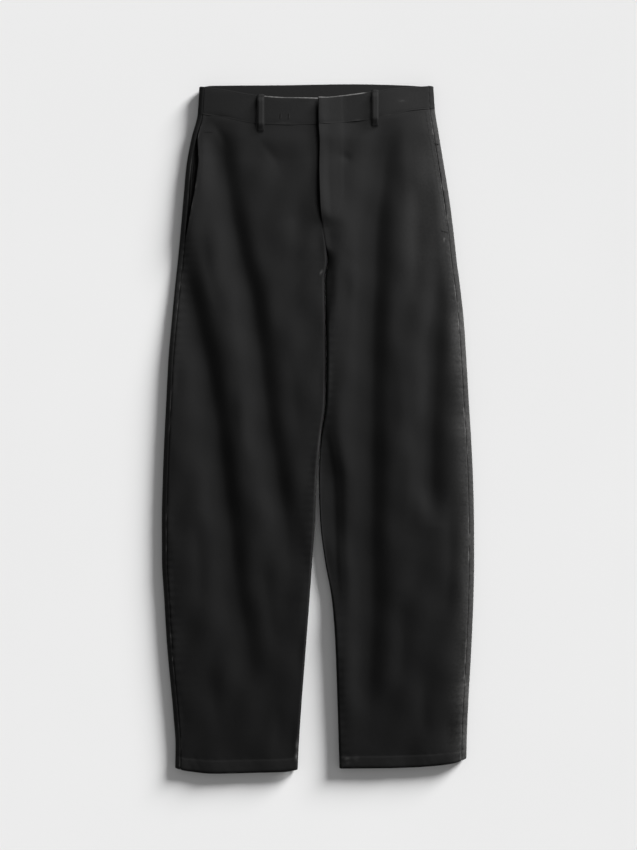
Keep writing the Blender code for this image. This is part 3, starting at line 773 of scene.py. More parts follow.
def front_height(side, x, y):
    """Height of the front's outer face: a crown with folds, rolled down at the side and inner leg."""
    outer, inner = outer_edge(side, y), inner_edge(side, y)
    across = np.clip((x - outer) / (inner - outer), 0.0, 1.0)
    arch = CROSS_ARCH * (2.0 * across - 1.0) ** 2 * np.where(across > 0.5, fork(y), 1.0)
    top = np.maximum(leg(side, "crown", y) - arch - fold_depth(side, x, y), LEAST_HEIGHT)
    top = top + inner_stand(side, x, y)
    outer_rise = quarter_round(np.clip(np.abs(x - outer) / leg(side, "roll", y), 0.0, 1.0))
    inner_rise = quarter_round(np.clip(SIDES[side] * (x - inner) / inner_roll(side, y), 0.0, 1.0))
    rise = outer_rise * (1.0 - fork(y) * (1.0 - inner_rise))
    return EDGE_HEIGHT + (top - EDGE_HEIGHT) * rise + waist_lift(y)


def fly_lift(x, y):
    """The left front lies on the lap of the right front, and comes down beside it."""
    from_edge = x - inner_edge("left", y)
    down = smooth_step((y - FLY_BOTTOM + FLY_LIFT_START) / FLY_LIFT_FADE)
    return FLY_LIFT * down * (1.0 - smooth_step((from_edge - FLY_LIFT_FLAT) / FLY_LIFT_RUN))


def front_start(side, y):
    """Where the front begins: at the side seam, or further in, at the pocket's edge."""
    inset = through(POCKETS[side], "y", "inset", y)
    return outer_edge(side, y) - SIDES[side] * np.maximum(inset, SIDE_SEAM)


def front_end(side, y):
    """Where the front ends: at the centre seam or, on the right of the fly, under the lap."""
    edge = inner_edge(side, y)
    if side == "left":
        return edge
    return edge + FLY_LAP * smooth_step((y - FLY_BOTTOM) / FLY_LAP_END)


def pocket_gape(side, x, y):
    """How far the front stands off its facing beside the pocket's edge."""
    gape = through(POCKETS[side], "y", "gape", y)
    return gape * (1.0 - smooth_step(np.abs(x - front_start(side, y)) / GAPE_RUN))


def bend_rows(side, y, x, seam):
    """Moves the straight rows so that the first follows the hem and the last the waist seam."""
    to_hem = np.clip(1.0 - (y - HEM_LEVEL) / EDGE_BLEND, 0.0, 1.0)
    to_seam = np.clip(1.0 - (SEAM_LEVEL - y) / EDGE_BLEND, 0.0, 1.0)
    down = edge_y(HEMS[side], x) - HEM_LEVEL
    up = edge_y(seam, x) - SEAM_LEVEL
    return y + to_hem * down + to_seam * up


def crease_depth(creases, x, y):
    """Sum of the fine creases: each is bell-shaped across its bent line and fades out at both ends."""
    depth = np.zeros(np.broadcast(x, y).shape)
    for crease in creases:
        run_x, run_y = crease.x1 - crease.x0, crease.y1 - crease.y0
        length = math.hypot(run_x, run_y)
        ahead = ((x - crease.x0) * run_x + (y - crease.y0) * run_y) / length
        aside = ((y - crease.y0) * run_x - (x - crease.x0) * run_y) / length
        share = np.clip(ahead / length, 0.0, 1.0)
        aside = aside - crease.bend * 4.0 * share * (1.0 - share)
        past = np.maximum(np.maximum(-ahead, ahead - length), 0.0)
        fade = np.sin(math.pi * np.clip(share, 0.04, 0.96)) ** 0.7 * bell(past, crease.width)
        depth += crease.depth * fade * bell(aside, crease.width)
    return depth


def slow_waves(x, y):
    """A sum of long sine waves that cross each other."""
    turns = [y / wave.along + x / wave.across for wave in WAVES]
    return sum(
        wave.height * np.sin(2.0 * math.pi * turn + wave.phase) for wave, turn in zip(WAVES, turns)
    )


def puckers(distance, along, phase):
    """Short ripples square to a seam, of uneven pitch and height, that fade away from it."""
    drift = 1.9 * np.sin(along / 0.047 + phase) + 1.1 * np.sin(along / 0.019 + 2.3 * phase)
    strength = 0.55 + 0.45 * np.sin(along / 0.083 + 1.7 * phase)
    ripple = np.sin(2.0 * math.pi * along / PUCKER_PITCH + drift)
    return PUCKER_HEIGHT * strength * ripple * np.exp(-distance / PUCKER_REACH)


def seam_dip(distance):
    """A panel's edge sinks into its seam: a smooth step down over the last few millimetres."""
    return SEAM_DIP * (1.0 - smooth_step(distance / SEAM_DIP_RUN)) ** 1.5


def uneven(along, phase):
    """An irregular run of short patches along a seam, from 0 between them to 1 in their middles."""
    beats = sum(beat.strength * np.sin(along / beat.length + beat.turns * phase) for beat in BEATS)
    return smooth_step((beats - PATCH_START) / PATCH_RUN)


def hem_groove(from_edge):
    """How far the stitching pulls the hem in."""
    return HEM_GROOVE * bell(from_edge - HEM_DEPTH + HEM_STITCH_INSET, HEM_GROOVE_WIDTH)


def hem_form(from_edge, along):
    """The turned-up hem: a thicker band, drawn in at its stitching, with slanting ripples."""
    band = smooth_step((HEM_DEPTH - from_edge) / HEM_STEP + 0.5)
    turns = (along + HEM_ROPE_SLANT * from_edge) / HEM_ROPE_PITCH
    rope = np.sin(2.0 * math.pi * turns + 2.5 * np.sin(along / 0.031))
    rope = rope * (0.3 + 0.7 * uneven(along, 1.3)) * span(from_edge, HEM_ROPE_SPAN, HEM_ROPE_FADES)
    droop = HEM_DROOP * np.clip(1.0 - from_edge / HEM_DROOP_RUN, 0.0, 1.0) ** 2
    return HEM_PROUD * band - hem_groove(from_edge) + HEM_ROPE * rope - droop


def fly_stitch_x(y):
    """The fly's topstitching: straight down beside the edge, then curving in to the bar tack."""
    turn = np.clip((y - FLY_BOTTOM) / FLY_TURN, 0.0, 1.0)
    return inner_edge("left", y) + FLY_STITCH_INSET * quarter_round(turn)


def fly_gape(y):
    """1 where the fly stands open most, and 0 well above and below."""
    return bell(y - FLY_GAPE_LEVEL, FLY_GAPE_RUN)


def fly_sink(x, y):
    """How far the right front sinks beside the left front's edge."""
    beside = bell(x - inner_edge("right", y) - FLY_SINK_OFFSET, FLY_SINK_RUN)
    beside = beside * smooth_step((y - FLY_BOTTOM) / FLY_SINK_FADE)
    return (FLY_SINK + 0.5 * FLY_GAPE * fly_gape(y)) * beside


def fly_form(x, y):
    """The left front beside the fly: its edge stands up, and the facing's stitching draws it in."""
    from_line = x - fly_stitch_x(y)
    facing = FLY_FACING_STEP * (1.0 - smooth_step(from_line / FLY_FACING_RUN + 0.5))
    groove = FLY_GROOVE * bell(from_line, FLY_GROOVE_WIDTH)
    from_edge = np.abs(x - inner_edge("left", y))
    stand = (FLY_STAND + FLY_GAPE * fly_gape(y)) * (1.0 - smooth_step(from_edge / FLY_STAND_RUN))
    band_end = BAND_END_LIFT * smooth_step((y - BAND_END_LEVEL) / BAND_END_FADE)
    stand = stand + band_end * (1.0 - smooth_step(from_edge / BAND_END_RUN))
    return (facing - groove) * above_fly(y) + stand * smooth_step((y - FLY_BOTTOM) / FLY_STAND_FADE)


def crotch_level(x, y):
    """How much lower the left front lies beside the centre seam below the fly, to meet the right front."""
    step = leg("left", "crown", y) - leg("right", "crown", y)
    beside = 1.0 - smooth_step(np.abs(x - inner_edge("left", y)) / CROTCH_LEVEL_RUN)
    below = smooth_step((FLY_BOTTOM + CROTCH_LEVEL_START - y) / CROTCH_LEVEL_RUN)
    return step * beside * below * (1.0 - fork(y))


def front_points(side, x, y):
    """The outer face of a front at x and at the straight row y, with its creases, puckers and hem."""
    from_start, from_end = np.abs(x - front_start(side, y)), np.abs(front_end(side, y) - x)
    inside = smooth_step(from_end / INNER_EDGE_RUN)
    pocket, fly = above_pocket(y), above_fly(y) * (side == "left")
    z = front_height(side, x, y) + POCKET_STAND * pocket_gape(side, x, y)
    if side == "left":
        z = z + fly_lift(x, y) + fly_form(x, y) - crotch_level(x, y)
    else:
        z = z - fly_sink(x, y)
    z = z - shelf_sink(side, x, y) * inside
    soft = smooth_step(from_start / RELIEF_INSETS[0]) * smooth_step(from_end / RELIEF_INSETS[1])
    z = z + (slow_waves(x, y) - crease_depth(CREASES[side], x, y)) * soft
    z = z + puckers(from_start, y, SIDE_PHASE * SIDES[side]) * (1.0 - 0.7 * pocket)
    z = z + puckers(from_end, y, INNER_PHASE + SIDES[side]) * fork(y) * inside
    z = z - seam_dip(from_start) * (1.0 - pocket)
    z = z - seam_dip(from_end) * (1.0 - fly) * (1.0 - fork(y))
    z = z + hem_form(y - HEM_LEVEL, x)
    z = z - seam_dip(SEAM_LEVEL - y) * through(SEAM_SHOWS, "x", "amount", x)
    return np.stack([x, bend_rows(side, y, x, FRONT_SEAM), z], axis=-1)


def panel_rows():
    """Heights of a panel's rows: even ones, with closer ones at the hem's stitching and at both ends."""
    first = HEM_LEVEL + np.array(EDGE_STEPS)
    last = SEAM_LEVEL - SEAM_MARGIN - np.array(EDGE_STEPS[::-1])
    stitching = HEM_LEVEL + HEM_DEPTH + np.linspace(-0.004, 0.004, 9)
    count = round((SEAM_LEVEL - HEM_LEVEL) / ROW_STEP)
    even = np.linspace(HEM_LEVEL, SEAM_LEVEL, count + 1)[:-1]
    fine = np.concatenate([first, stitching, last])
    apart = np.abs(even[:, None] - fine).min(axis=1) > 0.5 * ROW_STEP
    return np.sort(np.concatenate([even[apart], fine]))[:, None]


def front_columns(side, y):
    """Columns of a front, closer together at its two edges and round the inner leg."""
    inwards = -SIDES[side]
    start = front_start(side, y) + inwards * SEAM_MARGIN
    end = front_end(side, y) - inwards * SEAM_MARGIN
    first = start + inwards * np.array(EDGE_STEPS)
    angle = np.linspace(math.pi / 2, 0.0, ROLL_COLUMNS + 1)[1:-1]
    width = inner_roll(side, y)
    roll = end - inwards * width * (1.0 - np.cos(angle))
    roll_start = end - inwards * width
    share = np.linspace(0.0, 1.0, FRONT_COLUMNS)[1:]
    flat = first[:, -1:] + (roll_start - first[:, -1:]) * share
    return np.hstack([first, flat, roll, end])


def arc_length(points, axis):
    """Distance walked along one direction of a grid of points, from its first row or column."""
    steps = np.linalg.norm(np.diff(points, axis=axis), axis=-1)
    pad = [(1, 0) if i == axis else (0, 0) for i in range(2)]
    return np.cumsum(np.pad(steps, pad), axis=axis)


def unit(vectors):
    return vectors / np.linalg.norm(vectors, axis=-1, keepdims=True)


def shell(name, points, wall, wear, rumple, material, mirrored=False):
    """Closed cloth from the grid of its outer face.

    With N the face's normal, w half the wall and M the middle of the wall, the outer face is M + w N and
    the inner one M - w N. Past each border, M stays and N turns over the edge through a quarter circle, so
    that the two faces meet in a half-round rim. Rows run up and columns to the right, seen from outside,
    or to the left in a mirrored grid.
    """
    rows, columns = points.shape[:2]
    wall, wear, rumple = (np.broadcast_to(field, (rows, columns)) for field in (wall, wear, rumple))
    if mirrored:
        points, wall, wear, rumple = (field[:, ::-1] for field in (points, wall, wear, rumple))
    wall = wall[..., None]
    up, right = np.gradient(points, axis=0), np.gradient(points, axis=1)
    normal = unit(np.cross(right, up))
    middle = points - 0.5 * wall * normal
    u = arc_length(points, 1)
    u = u - u[:, columns // 2 : columns // 2 + 1]
    weave = np.stack([u, arc_length(points, 0)], axis=-1)

    i = np.arange(-RIM_STEPS, rows + RIM_STEPS)
    j = np.arange(-RIM_STEPS, columns + RIM_STEPS)
    past_i = np.maximum(np.maximum(-i, i - rows + 1), 0)[:, None, None] / RIM_STEPS
    past_j = np.maximum(np.maximum(-j, j - columns + 1), 0)[None, :, None] / RIM_STEPS
    sign_i = np.where(i < 0, -1.0, 1.0)[:, None, None]
    sign_j = np.where(j < 0, -1.0, 1.0)[None, :, None]
    pick = np.ix_(np.clip(i, 0, rows - 1), np.clip(j, 0, columns - 1))
    turn_i, turn_j = past_i * math.pi / 2, past_j * math.pi / 2
    over = np.sin(turn_i) * sign_i * unit(up)[pick] + np.sin(turn_j) * sign_j * unit(right)[pick]
    lift = np.cos(turn_i) * np.cos(turn_j) * normal[pick]
    half = 0.5 * wall[pick]
    outer = middle[pick] + half * (over + lift)
    inner = middle[pick] + half * (over - lift)

    index = np.arange(outer.shape[0] * outer.shape[1]).reshape(outer.shape[:2])
    inside = index.size + np.arange((index.shape[0] - 2) * (index.shape[1] - 2))
    inner_index = index.copy()
    inner_index[1:-1, 1:-1] = inside.reshape(index.shape[0] - 2, index.shape[1] - 2)
    vertices = np.concatenate([outer.reshape(-1, 3), inner[1:-1, 1:-1].reshape(-1, 3)])
    on_vertices = [
        np.concatenate([at.reshape(index.size, -1), at[1:-1, 1:-1].reshape(inside.size, -1)])
        for at in (weave[pick], wear[pick], rumple[pick])
    ]
    faces = np.concatenate([quads(index), quads(inner_index)[:, ::-1]])
    return new_piece(name, vertices, faces, material, *on_vertices)


def quads(index):
    """The faces between the rows and columns of a grid of vertex numbers."""
    corners = (index[:-1, :-1], index[:-1, 1:], index[1:, 1:], index[1:, :-1])
    return np.stack(corners, axis=-1).reshape(-1, 4)


def add_mesh(name, vertices, faces, material):
    """A mesh object in the scene, from a grid of points and a list of faces."""
    mesh = bpy.data.meshes.new(name)
    mesh.from_pydata(vertices.tolist(), [], faces)
    mesh.materials.append(material)
    made = bpy.data.objects.new(name, mesh)
    bpy.context.scene.collection.objects.link(made)
    return made


def new_piece(name, vertices, faces, material, weave, wear, rumple):
    """A smooth mesh object, with its weave coordinates as a UV map, and its rumple and its pale tone as
    attributes; the pale tone is real wear in places and painted highlights and glints in others.
    """
    piece = add_mesh(name, vertices, faces.tolist(), material)
    mesh = piece.data
    corners = np.empty(len(mesh.loops), dtype=np.int32)
    mesh.loops.foreach_get("vertex_index", corners)
    mesh.uv_layers.new(name="weave").data.foreach_set("uv", weave[corners].ravel())
    for field, values in (("wear", wear), ("rumple", rumple)):
        mesh.attributes.new(field, "FLOAT", "POINT").data.foreach_set("value", values.ravel())
    mesh.shade_smooth()
    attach(piece, "root")
    return piece


# The pale tone of an edge: a painted highlight or glint at most edges, and real wear at the fly and the back
# waistband
def pale_edge_falloff(distance):
    return bell(distance, PALE_EDGE_RUN)


def below_hem_line(y):
    """Distance below the upper edge of the hem."""
    return HEM_LEVEL + HEM_DEPTH - y


# The turned-up hem is a little paler than the leg above it
def hem_band_tone(y):
    return HEM_BAND_TONE * smooth_step(below_hem_line(y) / HEM_BAND_TONE_FADE)


def outer_painted_highlight(side, x, y):
    """A highlight painted along the outer edge of a leg, in long uneven patches."""
    patches = OUTER_HIGHLIGHT[side] * (0.6 + 0.4 * uneven(y / 3.0, 0.9))
    return patches * bell(x - outer_edge(side, y), OUTER_HIGHLIGHT_RUN[side])


def painted_glints(piece, x, y):
    """Sum of the glints and lit patches painted on a piece, each a soft oval."""
    tone = np.zeros(np.broadcast(x, y).shape)
    for spot in PAINTED_GLINTS[piece]:
        tone += spot.tone * bell(x - spot.x, spot.across) * bell(y - spot.y, spot.along)
    return tone


def rumple_of_panel(side, x, y):
    """How crumpled the cloth is: most beside the outer edge, and hardly in the middle of a leg."""
    return PLAIN_RUMPLE + EDGE_RUMPLE[side] * bell(x - outer_edge(side, y), EDGE_RUMPLE_RUN)


def wall_of_panel(y, from_seam):
    """The hem is turned up, so the panel is thicker below its stitching. It thins out into its seams."""
    turned_up = smooth_step(below_hem_line(y) / HEM_WALL_FADE + 0.5)
    wall = TWILL_WALL + (HEM_WALL - TWILL_WALL) * turned_up
    from_seam = np.minimum(from_seam, SEAM_LEVEL - y)
    return SEAM_WALL + (wall - SEAM_WALL) * smooth_step(from_seam / SEAM_WALL_RUN)


def shelf_sink(side, x, y):
    """The low strip along the left inner leg, deepest at its edge and gone where the fold rises."""
    if side == "right":
        return 0.0
    fold = through(INNER_SHELF_LEFT, "y", "x", y)
    return SHELF_SINK * span(y, SHELF_SPAN, SHELF_FADES) * (1.0 - smooth_step((x - fold) / SHELF_EDGE + 0.5))


def front_panel(side, material):
    """From the side seam or pocket to the centre seam or inner leg, and from the hem to the waistband."""
    rows = panel_rows()
    x = front_columns(side, rows)
    y = np.repeat(rows, x.shape[1], axis=1)
    points = front_points(side, x, y)
    from_start, from_end = np.abs(x - front_start(side, y)), np.abs(x - front_end(side, y))
    pocket, fly = above_pocket(y), above_fly(y)
    # Painted glints along the side seam, or along the pocket's edge above the pocket's end
    patches = SIDE_PAINTED_GLINT[side] * uneven(y, 1.0 + SIDES[side])
    patches = patches + (POCKET_PAINTED_GLINT[side] * uneven(1.7 * y, 0.3) - patches) * pocket
    # A highlight painted along the inner edge of the right leg
    inner = INNER_HIGHLIGHT[side] * span(y, INNER_HIGHLIGHT_SPAN, INNER_HIGHLIGHT_FADES) * (0.5 + 0.5 * uneven(0.5 * y, 4.1))
    wear = np.maximum.reduce([
        pale_edge_falloff(from_start) * patches + outer_painted_highlight(side, x, y),
        pale_edge_falloff(from_end) * FLY_TONE * fly * (side == "left"),
        pale_edge_falloff(from_end) * inner,
        # painted glints along the hem's lower edge
        pale_edge_falloff(y - HEM_LEVEL) * HEM_EDGE_GLINT * uneven(x, 0.4),
        hem_band_tone(y),
        # glints and lit patches painted on the front
        painted_glints(f"front_{side}", x, points[..., 1]),
    ])
    wall = wall_of_panel(y, np.minimum(from_start + UNSEWN * pocket, from_end + UNSEWN * fly))
    rumple = rumple_of_panel(side, x, y)
    return shell(f"front_{side}", points, wall, wear, rumple, material, mirrored=side == "left")


def under_section(side, y):
    """The tube's outer face from the side seam round the outline and under, to the inner leg or centre.

    Gives x, z and a share that says how far below each column is: 0 above the edge and 1 on the table.
    """
    outward = SIDES[side]
    outer, inner = outer_edge(side, y), inner_edge(side, y)
    lift = waist_lift(y)
    seam_steps = SIDE_SEAM - SEAM_MARGIN - np.array(SIDE_STEPS)
    x_above = outer - outward * seam_steps
    from_seam = np.abs(x_above - (outer - outward * SIDE_SEAM))
    z_above = front_height(side, x_above, y) - seam_dip(from_seam)
    z_above = z_above + puckers(from_seam, y, SIDE_PHASE * outward)
    angle = np.linspace(0.0, math.pi / 2, ROLL_COLUMNS)
    x_outer = outer - outward * UNDER_ROLL * (1.0 - np.cos(angle))
    z_outer = EDGE_HEIGHT * (1.0 - np.sin(angle)) + lift
    x_inner = inner + outward * UNDER_ROLL * (1.0 - np.cos(angle[::-1]))
    z_inner = EDGE_HEIGHT * (1.0 - np.sin(angle[::-1])) * fork(y) + lift
    x_inner = x_inner + outward * 0.5 * TWILL_WALL * (1.0 - fork(y))
    z_inner = z_inner - 0.5 * TWILL_WALL * fork(y) * (1.0 - np.sin(angle[::-1]))
    share = np.linspace(0.0, 1.0, UNDER_COLUMNS)[1:-1]
    x_flat = x_outer[:, -1:] + (x_inner[:, :1] - x_outer[:, -1:]) * share
    rise = crease_depth(BACK_CREASES[side], x_flat, y)
    to_seam = np.abs(x_flat - inner)
    centre = (1.0 - fork(y)) * seam_dip(to_seam)
    z_flat = lift + rise * smooth_step(to_seam / BACK_RELIEF_INSET) + centre
    x = np.hstack([x_above, x_outer, x_flat, x_inner])
    z = np.hstack([z_above, z_outer, z_flat, z_inner])
    below = np.ones(x.shape[1])
    below[: x_above.shape[1]] = 0.0
    below[x_above.shape[1] : x_above.shape[1] + ROLL_COLUMNS] = np.sin(angle)
    return x, z, below


def back_points(side, rows):
    """The outer face of a back, from the side seam round the edge and along the table."""
    x, z, below = under_section(side, rows)
    y = np.repeat(rows, x.shape[1], axis=1)
    front = bend_rows(side, y, x, FRONT_SEAM)
    back = bend_rows(side, y, x, BACK_SEAM)
    z = z + hem_form(y - HEM_LEVEL, x) * (1.0 - below) + hem_groove(y - HEM_LEVEL) * below
    return np.stack([x, front + (back - front) * below, z], axis=-1)


def back_panel(side, material):
    """From the side seam round the outer edge and along the table, to the centre seam or inner leg."""
    rows = panel_rows()
    points = back_points(side, rows)
    x, y = points[..., 0], np.repeat(rows, points.shape[1], axis=1)
    from_seam = SIDE_SEAM - np.abs(x - outer_edge(side, y))
    above = np.arange(points.shape[1])[None, :] < len(SIDE_STEPS)
    # Painted glints along the side seam
    patches = SIDE_PAINTED_GLINT[side] * uneven(y, 2.0 + SIDES[side])
    wear = np.maximum(hem_band_tone(y), pale_edge_falloff(from_seam) * patches * above) + outer_painted_highlight(side, x, y)
    wall = wall_of_panel(y, np.where(above, from_seam, UNSEWN))
    rumple = rumple_of_panel(side, x, y)
    return shell(f"back_{side}", points, wall, wear, rumple, material, mirrored=side == "right")


def pocket_facing(side, material):
    """The strip that shows inside the slanted pocket, and runs on a little way under the front."""
    outward = SIDES[side]
    rows = panel_rows()
    rows = rows[rows[:, 0] > POCKET_BOTTOM]
    first = SIDE_SEAM - POCKET_TUCK
    last = np.abs(front_start(side, rows) - outer_edge(side, rows)) + POCKET_UNDER
    inset = first + (last - first) * np.linspace(0.0, 1.0, FACING_COLUMNS)
    x = outer_edge(side, rows) - outward * inset
    y = np.repeat(rows, x.shape[1], axis=1)
    streaks = np.sin(2.0 * math.pi * inset / FACING_STREAK_PITCH + 2.0 * np.sin(rows / 0.030))
    z = front_height(side, x, y) - FACING_DROP + FACING_STREAK * streaks
    points = np.stack([x, bend_rows(side, y, x, FRONT_SEAM), z], axis=-1)
    name, mirrored = f"facing_{side}", side == "left"
    return shell(name, points, TWILL_WALL, 0.0, FACING_RUMPLE, material, mirrored)


def band_shares(low, high):
    """Shares of a waistband's height, closer together at its two edges."""
    edge = np.array(EDGE_STEPS) / (TOP_LEVEL - SEAM_LEVEL)
    even = np.linspace(0.0, 1.0, BAND_ROWS)
    even = even[(even > edge[-1] * 1.3) & (even < 1.0 - edge[-1] * 1.3)]
    share = np.concatenate([edge, even, 1.0 - edge[::-1]])[:, None]
    first = (0.5 * BAND_SEAM_WALL + SEAM_CLEAR) / (high - low)
    last = 0.5 * BAND_WALL / (high - low)
    return first + (1.0 - first - last) * share


def band_form(from_seam, from_top, along):
    """The waistband's relief: it sinks to its seam and is drawn in along both rows of stitching."""
    rows = [bell(distance - EDGE_STITCH, BAND_GROOVE_WIDTH) for distance in (from_seam, from_top)]
    waves = BAND_WAVE * np.sin(along / 0.0135 + 1.1 * np.sin(along / 0.041))
    inside = smooth_step(from_seam / BAND_WAVE_INSET) * smooth_step(from_top / BAND_WAVE_INSET)
    return waves * inside - BAND_GROOVE * (rows[0] + rows[1])


def front_band_points(side, x, share):
    """The outer face of half the front waistband at x and at a share of its height."""
    low, high = edge_y(FRONT_SEAM, x), edge_y(FRONT_TOP, x)
    y = low + (high - low) * share
    shows = through(SEAM_SHOWS, "x", "amount", x)
    proud = BAND_PROUD * (1.0 - (1.0 - shows) * (1.0 - smooth_step((y - low) / BAND_PROUD_RUN)))
    z = front_height(side, x, y) + proud + band_form(y - low, high - y, x)
    if side == "left":
        z = z + fly_lift(x, y) + fly_form(x, y)
    else:
        z = z - fly_sink(x, y)
    return np.stack([x, y, z], axis=-1)


def band_wall(from_seam):
    return BAND_SEAM_WALL + (BAND_WALL - BAND_SEAM_WALL) * smooth_step(from_seam / BAND_WALL_RUN)


def front_band(side, material):
    """Half of the front waistband, from the side seam to the fly."""
    columns = front_columns(side, np.array([[SEAM_LEVEL]]))
    share = (columns - columns[0, -1]) / (columns[0, 0] - columns[0, -1])
    low, high = edge_y(FRONT_SEAM, columns), edge_y(FRONT_TOP, columns)
    up = band_shares(low, high)
    levels = SEAM_LEVEL + (TOP_LEVEL - SEAM_LEVEL) * up.mean(axis=1, keepdims=True)
    x = columns + (outer_edge(side, levels) - outer_edge(side, SEAM_LEVEL)) * share
    points = front_band_points(side, x, up)
    from_seam = up * (high - low)
    from_top = np.maximum((1.0 - up) * (high - low) - 0.5 * BAND_WALL, 0.0)
    # The top edge of the waistband: worn, with a highlight painted where it catches the light
    patches = TOP_WEAR_AND_HIGHLIGHT * span(x, TOP_LINE, (TOP_FADE, TOP_FADE)) * (0.55 + 0.45 * uneven(0.4 * x, 2.2))
    wear = np.maximum.reduce([
        patches * pale_edge_falloff(4.0 * from_top),
        # painted highlight along the waistband's seam
        SEAM_HIGHLIGHT * pale_edge_falloff(from_seam) * through(SEAM_SHOWS, "x", "amount", x),
        # glints and lit patches painted on the waistband
        painted_glints(f"band_front_{side}", x, points[..., 1]),
    ])
    name, mirrored = f"band_front_{side}", side == "left"
    return shell(name, points, band_wall(from_seam), wear, BAND_RUMPLE, material, mirrored)


def back_band_points(share):
    """The outer face of the back waistband at a column of shares of its height, with its upper part's y."""
    levels = SEAM_LEVEL + (TOP_LEVEL - SEAM_LEVEL) * share
    right, left = under_section("right", levels), under_section("left", levels)
    keep = -ROLL_COLUMNS
    x, z = (np.hstack([right[i][:, :keep], left[i][:, keep - 1 :: -1]]) for i in (0, 1))
    below = np.hstack([right[2][:keep], left[2][keep - 1 :: -1]])
    low = edge_y(FRONT_SEAM, x) * (1 - below) + edge_y(BACK_SEAM, x) * below
    high = edge_y(FRONT_TOP, x) * (1 - below) + edge_y(BACK_TOP, x) * below
    z = z + BAND_PROUD * np.where(below > 0.0, -below, 1.0)
    return np.stack([x, low + (high - low) * share, z], axis=-1)


def back_band(material):
    """The back waistband: one piece from side seam to side seam, lying on its belt loops."""
    share = band_shares(SEAM_LEVEL, TOP_LEVEL)
    height = TOP_LEVEL - SEAM_LEVEL
    points = back_band_points(share)
    wear = BACK_BAND_TONE * pale_edge_falloff((1.0 - share) * height)
    return shell("band_back", points, band_wall(share * height), wear, BAND_RUMPLE, material, mirrored=True)


def front_loop_points(side, across, share):
    """The outer face of a front belt loop: bowed up between its ends, a little crowned across."""
    centre = FRONT_LOOPS[side]
    bottom = float(edge_y(FRONT_SEAM, centre)) - LOOP_BELOW
    top = float(edge_y(FRONT_TOP, centre)) + LOOP_ABOVE
    y = bottom + (top - bottom) * share
    x = centre + across
    arch = span(share, (0.0, 1.0), (LOOP_RAMP, LOOP_RAMP))
    under = front_height(side, centre + 0.0 * across, y) + BAND_PROUD
    gap = LOOP_REST + (LOOP_CLEARANCE - LOOP_REST) * arch
    x, y, z = np.broadcast_arrays(x, y, under + gap + loop_wall(across) + loop_relief(across))
    return np.stack([x, y, z], axis=-1)


def from_loop_edge(across):
    return 0.5 * LOOP_WIDTH - np.abs(across)


def loop_relief(across):
    """A belt loop is drawn in along the stitching near both edges, so that its face is raised."""
    return LOOP_FACE_RISE * smooth_step((from_loop_edge(across) - LOOP_FACE_INSET) / LOOP_FACE_RUN)


def loop_grid():
    """Distances across a belt loop and shares of its length, as a row and a column."""
    half = 0.5 * (LOOP_WIDTH - LOOP_WALL)
    end = 0.5 * LOOP_WALL / (TOP_LEVEL - SEAM_LEVEL)
    across = np.linspace(-half, half, LOOP_COLUMNS)[None, :]
    return across, np.linspace(end, 1.0 - end, LOOP_ROWS)[:, None]


def loop_wall(across):
    rise = smooth_step((from_loop_edge(across) - LOOP_EDGE_INSET) / LOOP_EDGE_RUN)
    return LOOP_EDGE_WALL + (LOOP_WALL - LOOP_EDGE_WALL) * rise


# The face of a belt loop is made a little paler than its pressed edges
def loop_face_tone(across):
    return LOOP_TONE * smooth_step((from_loop_edge(across) - LOOP_FACE_INSET) / LOOP_TONE_RUN)


def loop_shell(name, points_at, material):
    """A belt loop from the function that gives the points of its outer face."""
    across, share = loop_grid()
    points = points_at(across, share)
    return shell(name, points, loop_wall(across), loop_face_tone(across), LOOP_RUMPLE, material)


def front_loop(side, material):
    """A belt loop that stands off the waistband, sewn down above and below it."""
    return loop_shell(f"loop_front_{side}", partial(front_loop_points, side), material)


def back_loop_points(name, across, share):
    """The outer face of a back belt loop, flat on the table."""
    centre = BACK_LOOPS[name]
    bottom = float(edge_y(BACK_SEAM, centre)) - LOOP_BELOW
    top = float(edge_y(BACK_TOP, centre))
    y = bottom + (top - bottom) * share
    from_row = from_loop_edge(across) - LOOP_ROW
    from_tack = np.minimum(np.abs(y - bottom - LOOP_TACKS[0]), np.abs(top - y - LOOP_TACKS[1]))
    groove = np.maximum(bell(from_row, LOOP_GROOVE_WIDTH), bell(from_tack, LOOP_TACK_WIDTH))
    x, y, z = np.broadcast_arrays(centre - across, y, LOOP_GROOVE * groove)
    return np.stack([x, y, z], axis=-1)


def back_loop(name, material):
    """A belt loop pressed flat between the table and the back waistband."""
    return loop_shell(f"loop_{name}", partial(back_loop_points, name), material)


def stitches(path, beside, first_gap=0.0):
    """Middles, directions and normals of the stitches along a path.

    The path is walked at even steps. The normal is square to the path and to the line beside it.
    """
    walked = np.concatenate([[0.0], np.cumsum(np.linalg.norm(np.diff(path, axis=0), axis=1))])
    at = np.arange(first_gap + 0.5 * STITCH_PITCH, walked[-1] - 0.5 * STITCH, STITCH_PITCH)
    half = 0.5 * STITCH

    def spot(line, distance):
        return np.stack([np.interp(distance, walked, line[:, k]) for k in range(3)], axis=-1)

    middle = spot(path, at)
    ahead = unit(spot(path, at + half) - spot(path, at - half))
    aside = spot(beside, at) - middle
    return middle, ahead, unit(np.cross(ahead, aside))


